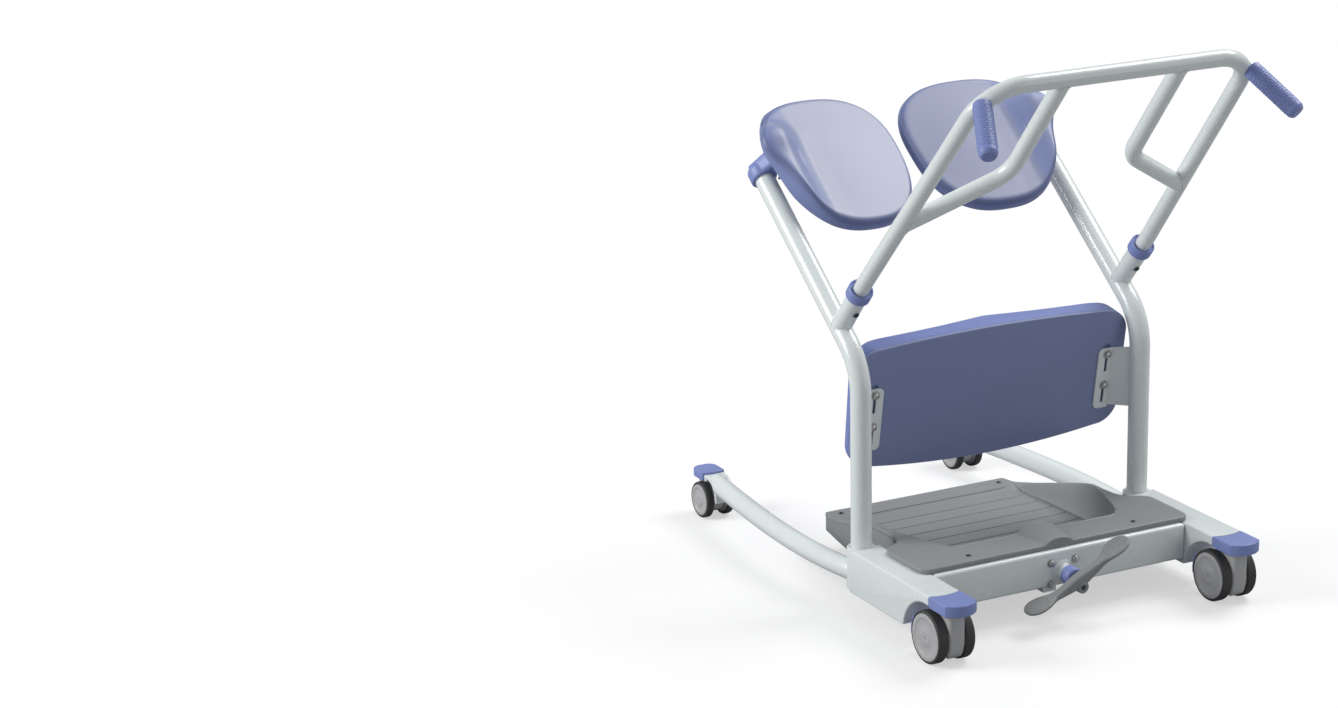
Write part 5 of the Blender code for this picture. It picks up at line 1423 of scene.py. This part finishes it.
# %% Pedal arm
PEDAL_TILT = math.radians(26.5)
PEDAL_STATIONS = np.array([
    (0.000, 0.0120, 0.0130, 0.0000), (0.010, 0.0116, 0.0124, 0.0000), (0.018, 0.0108, 0.0112, 0.0000),
    (0.030, 0.0100, 0.0096, 0.0004), (0.042, 0.0098, 0.0080, 0.0010), (0.058, 0.0110, 0.0060, 0.0036),
    (0.070, 0.0175, 0.0046, 0.0058), (0.082, 0.0240, 0.0040, 0.0078), (0.098, 0.0268, 0.0038, 0.0095),
    (0.110, 0.0235, 0.0036, 0.0104), (0.118, 0.0165, 0.0034, 0.0111), (0.1225, 0.0085, 0.0026, 0.0115)])
PEDAL_NECK, PEDAL_HALF_L = 0.062, 0.1225
RIB_PITCH, RIB_H = 0.0052, 0.0008


def pedal_place(points):
    """Turned by the pedal's tilt about its shaft."""
    c, s = math.cos(PEDAL_TILT), math.sin(PEDAL_TILT)
    x, y, z = np.moveaxis(np.asarray(points), -1, 0)
    return np.stack([x * c + z * s, y + PEDAL_Y, -x * s + z * c + PEDAL_Z], -1)


def pedal_arm():
    """Superellipse sections of power 3.6, whose half width, half height and rise come from the
    stations, smoothed. Ribs run across the wide ends' upper face."""
    run = np.concatenate([np.linspace(0, PEDAL_NECK, 26), np.linspace(PEDAL_NECK + 0.0005, PEDAL_HALF_L, 86)])
    run = np.concatenate([-run[:0:-1], run])
    reach = np.abs(run)
    kernel = np.hanning(13) / np.hanning(13).sum()
    wide, high, rise = [np.convolve(np.pad(np.interp(reach, PEDAL_STATIONS[:, 0], column), 6, mode="edge"),
                                    kernel, "valid") for column in PEDAL_STATIONS.T[1:]]
    wide[[0, -1]], high[[0, -1]] = 0.0050, 0.0024
    y, z = superellipse(36, 0.55)
    on_tread = smooth(reach, 0.068, 0.072) * (1 - smooth(reach, 0.113, 0.117))
    ribs = RIB_H * on_tread * (0.5 + 0.5 * np.sin(reach * math.tau / RIB_PITCH))
    lift = ribs[:, None] * np.clip((0.86 - np.abs(y)) / 0.12, 0, 1) * (z > 0.5)
    rings = [np.repeat(run[:, None], 36, 1), wide[:, None] * y, rise[:, None] + high[:, None] * z + lift]
    return pedal_place(np.stack(rings, -1))


lug_at = pedal_place((0.003, 0, -0.0115))
lug = [(CENTRE, -0.008), (0.0112, -0.008), (0.0120, -0.0072), (0.0120, 0.0108), (0.0110, 0.0118),
       (0.0052, 0.0120), (0.0050, 0.0100), (CENTRE, 0.0100)]
hole = cylinder(SHAFT_R + GAP, -0.03, 0.0043, (0, PEDAL_Y, PEDAL_Z), REARWARD)
arm = worked(skin(pedal_arm()), ("UNION", turned(lug, lug_at, REARWARD, 48)), ("DIFFERENCE", hole))
piece("pedal_rocker", arm, PEDAL_GREY, "pedal", "foot_pedal", sharp=50)
head = screw_head(lug_at + (0, 0.0098, 0), REARWARD, 0.0043, 0.0022)
piece("pedal_screw", head, BLACK_STEEL, "pedal", slot="steel")
tell("pedal arm")

# %% Pedal shaft and collar
SHAFT_START_Y, COLLAR_OUT = BEAM_REAR_Y - 0.028, 0.0185
end = PEDAL_Y + 0.004 - SHAFT_START_Y
shaft = [(CENTRE, 0), (SHAFT_R - 0.001, 0), (SHAFT_R, 0.001), (SHAFT_R, end - 0.001),
         (SHAFT_R - 0.001, end), (CENTRE, end)]
piece("rocker_shaft", turned(shaft, (0, SHAFT_START_Y, PEDAL_Z), REARWARD), STEEL, "pedal", "pedal_shaft")
run = PEDAL_Y - 0.0125 - BOSS_END_Y
ring = [(SHAFT_R + GAP, 2 * GAP), (COLLAR_OUT - 0.0009, 2 * GAP), (COLLAR_OUT, 0.0015),
        (COLLAR_OUT, run - 0.0050), (COLLAR_OUT - 0.0005, run - 0.0032), (COLLAR_OUT - 0.0015, run - 0.0012),
        (COLLAR_OUT - 0.0030, run), (SHAFT_R + GAP, run)]
ring = turned(ring, (0, BOSS_END_Y, PEDAL_Z), REARWARD, 72, closed=True)
piece("rocker_collar", ring, BLUE, "pedal", "pedal_collar")
tell("pedal shaft and collar")

# %% [markdown]
# ## Legs
# Each leg tube bows outward from a barrel that turns on the column to a flat plate bent down at the
# toe. A Curve modifier could bend a straight tube. The bow is a formula here, so the tube is swept
# along it, joined to the barrel and cut off along the plate with the same arc that bends the plate.

# %% Sizes of the legs
LEG_Z, LEG_BOW, LEG_TOE_X = 0.075, 0.0265, 0.302
FRONT_KINGPIN_X, FRONT_KINGPIN_Y = 0.301, -0.642
TOE_Y, TOE_Z, TOE_R, TOE_W, TOE_T = -0.604, 0.052, 0.0325, 0.044, 0.006
LEG_TOE_Y, TOE_FOOT_Z, TOE_TOP_Z, TOE_STEM_R = TOE_Y + 0.0385, TOE_Z - 0.009, TOE_Z + TOE_R + TOE_T, 0.0063
FRONT_CAP_Y, FRONT_CAP_Z, FRONT_CAP_W = (-0.668, -0.612), (0.0780, 0.0956), 0.052


# %% Leg tubes
def leg(side):
    """x = column + (toe - column) t + bow sin(pi t^0.72) along the leg."""
    t = np.linspace(0, 1, 60)
    x = COLUMN_X + (LEG_TOE_X - COLUMN_X) * t + LEG_BOW * np.sin(math.pi * t ** 0.72)
    path = np.column_stack([side * x, (LEG_TOE_Y - 0.04) * t, np.full(60, LEG_Z)])
    low, high, r = BOX_LOW_Z + LUG_H + GAP, BOX_TOP_Z - LUG_H - GAP, COLUMN_R + 2 * GAP
    barrel = [(CENTRE, low), (LUG_R - 0.001, low), (LUG_R, low + 0.001), (LUG_R, high - 0.001),
              (LUG_R - 0.001, high), (CENTRE, high)]
    cx, toe_x = side * COLUMN_X, side * LEG_TOE_X
    past = TOE_R + TOE_T + GAP
    room = [(TOE_Y + past + 0.002, TOE_FOOT_Z)] + arc((TOE_Y, TOE_Z), past, 0, 90, 24)
    room += [(TOE_Y - 0.02, TOE_Z + past), (TOE_Y - 0.02, 0), (TOE_Y + past + 0.002, 0)]
    near, far = toe_x - 0.05, toe_x + 0.05
    above = block((near, LEG_TOE_Y - 0.06, TOE_TOP_Z - 0.001), (far, TOE_Y + 0.004, 0.12))
    return worked(swept(path, COLUMN_R, 48), ("UNION", upright(barrel, cx)),
                  ("DIFFERENCE", upright([(r, low - 0.01), (r, high + 0.01)], cx)),
                  ("DIFFERENCE", prism(room, "X", near, far)), ("DIFFERENCE", above))


# %% Toe plates and their caps
def toe_plate(side):
    """From the side: a flat top over the castor, bent down by a quarter of an arc."""
    low, high, front = FRONT_CAP_Z[0], TOE_TOP_Z, FRONT_CAP_Y[0] + CAP_SKIN + 0.004
    outline = [(front, low), (FRONT_CAP_Y[1] + 0.004, low), (TOE_Y, TOE_Z + TOE_R)]
    outline += arc((TOE_Y, TOE_Z), TOE_R, 84, 0, 22)
    outline += [(TOE_Y + TOE_R + 0.002, TOE_FOOT_Z), (TOE_Y + TOE_R + TOE_T + 0.002, TOE_FOOT_Z)]
    outline += arc((TOE_Y, TOE_Z), TOE_R + TOE_T, 0, 90, 24) + [(front, high)]
    x = side * FRONT_KINGPIN_X
    stem = cylinder(TOE_STEM_R, 0, high - 0.003, (x, FRONT_KINGPIN_Y, 0), UPWARD, 40)
    plate = prism(outline, "X", x - TOE_W / 2, x + TOE_W / 2)
    return worked(plate, ("ROUND", (0.0012, 3, 50)), ("DIFFERENCE", stem))


def front_cap(side):
    """From above: two round front corners, and a rear edge that is a little hollow."""
    x, half, inner = side * FRONT_KINGPIN_X, FRONT_CAP_W / 2, TOE_W / 2 + GAP
    front, back = FRONT_CAP_Y
    r = half * 0.75
    outline = arc((x - half + r, front + r), r, 180, 270, 18)
    outline += arc((x + half - r, front + r), r, 270, 360, 18)
    outline += [(x + half * u, back - 0.002 - 0.002 * abs(u) ** 3 + 0.0025 * math.cos(u * math.pi / 2) ** 2)
                for u in np.linspace(1, -1, 17)]
    room = block((x - inner, front + CAP_SKIN + 0.004 - GAP, 0), (x + inner, back + 0.01, TOE_TOP_Z + GAP))
    return worked(prism(outline, "Z", *FRONT_CAP_Z), ("ROUND", (0.0028, 4, 50)), ("DIFFERENCE", room))


for word, side in SIDES.items():
    rider = f"leg_{word}_assembly"
    piece(f"leg_tube_{word}", leg(side), PAINT, rider, f"leg_{word}", sharp=40)
    piece(f"toe_bracket_{word}", toe_plate(side), PAINT, rider, f"toe_plate_{word}", sharp=40)
    piece(f"toe_cap_{word}", front_cap(side), BLUE, rider, f"front_cap_{word}", sharp=35)
tell("legs")

# %% [markdown]
# ## Castors
# Twin wheels run on a pin through a rounded plastic housing, and the rear ones have a brake pedal.
# Disc and tyre are round, so they are profiles turned round the axle. The housing is not: it is its
# side view drawn across and rounded all round, which keeps the wheels' gap even.

# %% Sizes of the castors
AXLE_R, STEM_R, TREAD, TREAD_R, HUB_R = 0.004, 0.006, 0.005, (0.0042, 0.0044), 0.72
REAR_X, REAR_KINGPIN_Y = (BOX_INNER_X + BOX_OUTER_X) / 2, 0.320
REAR = dict(trail=0.031, wheel_r=0.050, wheel_w=0.0220, fork_w=0.0335, top=CAP_LOW_Z - 0.0005,
            stem_top=BOX_TOP_Z - CAP_SKIN - 0.006)
FRONT = dict(trail=-0.022, wheel_r=0.0375, wheel_w=0.0180, fork_w=0.0275, top=FRONT_CAP_Z[0] - 0.0005,
             stem_top=TOE_TOP_Z - 0.005)


# %% Housings and wheels
def housing(kingpin_y, trail, wheel_r, top, width, x):
    """Seen from the side: a neck under the kingpin, bent over to a round hub about the axle."""
    neck, hub, way = wheel_r * 0.37, wheel_r * HUB_R, math.copysign(1, trail)
    bulge = ((0.96, 0.22), (0.8, 0.45), (0.55, 0.61), (0.2, 0.70), (-0.5, 0.64))
    outline = [(neck, top - wheel_r), (neck, 0.002)] + [(neck * out, -wheel_r * down) for out, down in bulge]
    outline += arc((-abs(trail), 0), hub, 250, 120, 26)
    outline += [(-neck, min(top - wheel_r * 1.22, hub + abs(trail) * 0.2)), (-neck, top - wheel_r)]
    outline = [(kingpin_y + y * way, wheel_r + z) for y, z in outline]
    return worked(prism(outline, "X", x - width / 2, x + width / 2), ("ROUND", (width * 0.2, 5, 60)))


def wheel(centre, outward, radius, width):
    """The disc's face steps down from its rim to a shallow dish and up again at the hub."""
    rim = radius - TREAD
    face = [(0.86, 0), (0.80, 0.0001), (0.775, 0.0010), (0.74, 0.0016), (0.52, 0.0018), (0.36, 0.0012),
            (0.33, 0.0004), (0.20, 0.0002)]
    disc = [(AXLE_R + GAP, width * 0.7), (AXLE_R + GAP, 0), (rim - GAP - 0.002, 0), (rim - GAP, 0.002),
            (rim - GAP, width - 0.0018), (rim - GAP - 0.0008, width - 0.0006)]
    disc += [(rim * share, width - down) for share, down in face] + [(AXLE_R + 0.0012, width - 0.0006)]

    def shoulder(middle, start, end):
        """Part of an ellipse, from the tyre's side to its tread."""
        return [(radius - TREAD_R[0] * (1 - math.cos(a)), middle + TREAD_R[1] * math.sin(a))
                for a in np.radians(np.linspace(start, end, 8))]

    foot = [(rim, 0.0012), (rim + 0.0016, 0.0006)]
    tyre = foot + shoulder(0.0050, -84, 0) + shoulder(width - 0.0050, 0, 84)
    tyre += [(r, width - d) for r, d in reversed(foot)]
    return turned(disc, centre, outward, 72), turned(tyre, centre, outward, 72, closed=True)


# %% Castors and brakes
def castor(name, side, x, y, trail, wheel_r, wheel_w, fork_w, top, stem_top):
    """A housing with its stem and pin, and two wheels with a tyre and a hub each."""
    axle_y, pin = y - trail, fork_w / 2 + wheel_w * 0.6
    stem = [(CENTRE, top - 0.01), (STEM_R, top - 0.01), (STEM_R, stem_top), (CENTRE, stem_top)]
    axle = [(CENTRE, -pin), (AXLE_R, -pin), (AXLE_R, pin), (CENTRE, pin)]
    body = merged(housing(y, trail, wheel_r, top, fork_w, x), turned(stem, (x, y, 0), UPWARD, 40),
                  turned(axle, (x, axle_y, wheel_r), ACROSS, 32))
    piece(f"{name}_housing", body, CASTOR_GREY, f"{name}_swivel", f"{name}_castor", sharp=40)
    hub = [(CENTRE, -0.004), (AXLE_R - 0.0004, -0.004), (AXLE_R - 0.0004, 0.0002), (AXLE_R - 0.0010, 0.0009),
           (CENTRE, 0.0012)]
    for label, direction in (("inner", -side), ("outer", side)):
        twin, out = f"{name}_{label}", (direction, 0, 0)
        centre = (x + direction * (fork_w / 2 + 2 * GAP), axle_y, wheel_r)
        disc, tyre = wheel(centre, out, wheel_r, wheel_w)
        piece(f"{twin}_disc", disc, WHEEL_GREY, f"{twin}_roller", f"{twin}_wheel", sharp=40)
        piece(f"{twin}_tread", tyre, RUBBER, f"{twin}_roller", f"{twin}_tyre", sharp=40)
        at = np.array(centre) + (direction * (wheel_w - 0.0016), 0, 0)
        piece(f"{twin}_hub", turned(hub, at, out, 32), STEEL, f"{twin}_roller", slot="steel")


def brake(x, y, trail, wheel_r, wheel_w, fork_w, **_):
    """A shoe on the housing's round front and a wide curved tread in front of the wheels."""
    def shell(inner, outer, start, end, steps, half):
        """A curved slab: an arc out and an arc back, drawn across."""
        centre = (y - trail, wheel_r)
        outline = arc(centre, inner, start, end, steps) + arc(centre, outer, end, start, steps)
        return prism(outline, "X", x - half, x + half)

    tread = shell(wheel_r + 0.0022, wheel_r + 0.0062, 192, 150, 18, fork_w / 2 + wheel_w * 0.8)
    shoe = shell(wheel_r * HUB_R + 2 * GAP, wheel_r + 0.004, 190, 145, 16, fork_w / 2 - 0.001)
    return worked(tread, ("ROUND", (0.0014, 3, 50)), ("UNION", shoe))


for word, side in SIDES.items():
    castor(f"rear_{word}", side, side * REAR_X, REAR_KINGPIN_Y, **REAR)
    shoe = brake(side * REAR_X, REAR_KINGPIN_Y, **REAR)
    piece(f"brake_shoe_{word}", shoe, BLUE, f"brake_{word}", f"rear_{word}_brake", sharp=40)
    castor(f"front_{word}", side, side * FRONT_KINGPIN_X, FRONT_KINGPIN_Y, **FRONT)
tell("castors and brakes")

# %% [markdown]
# ## Count of pieces
# The last cell prints how many pieces were made, and for how many solids.

# %% Finish
print(len(MADE), "pieces in all, for", len(frame["nodes"]), "solids")
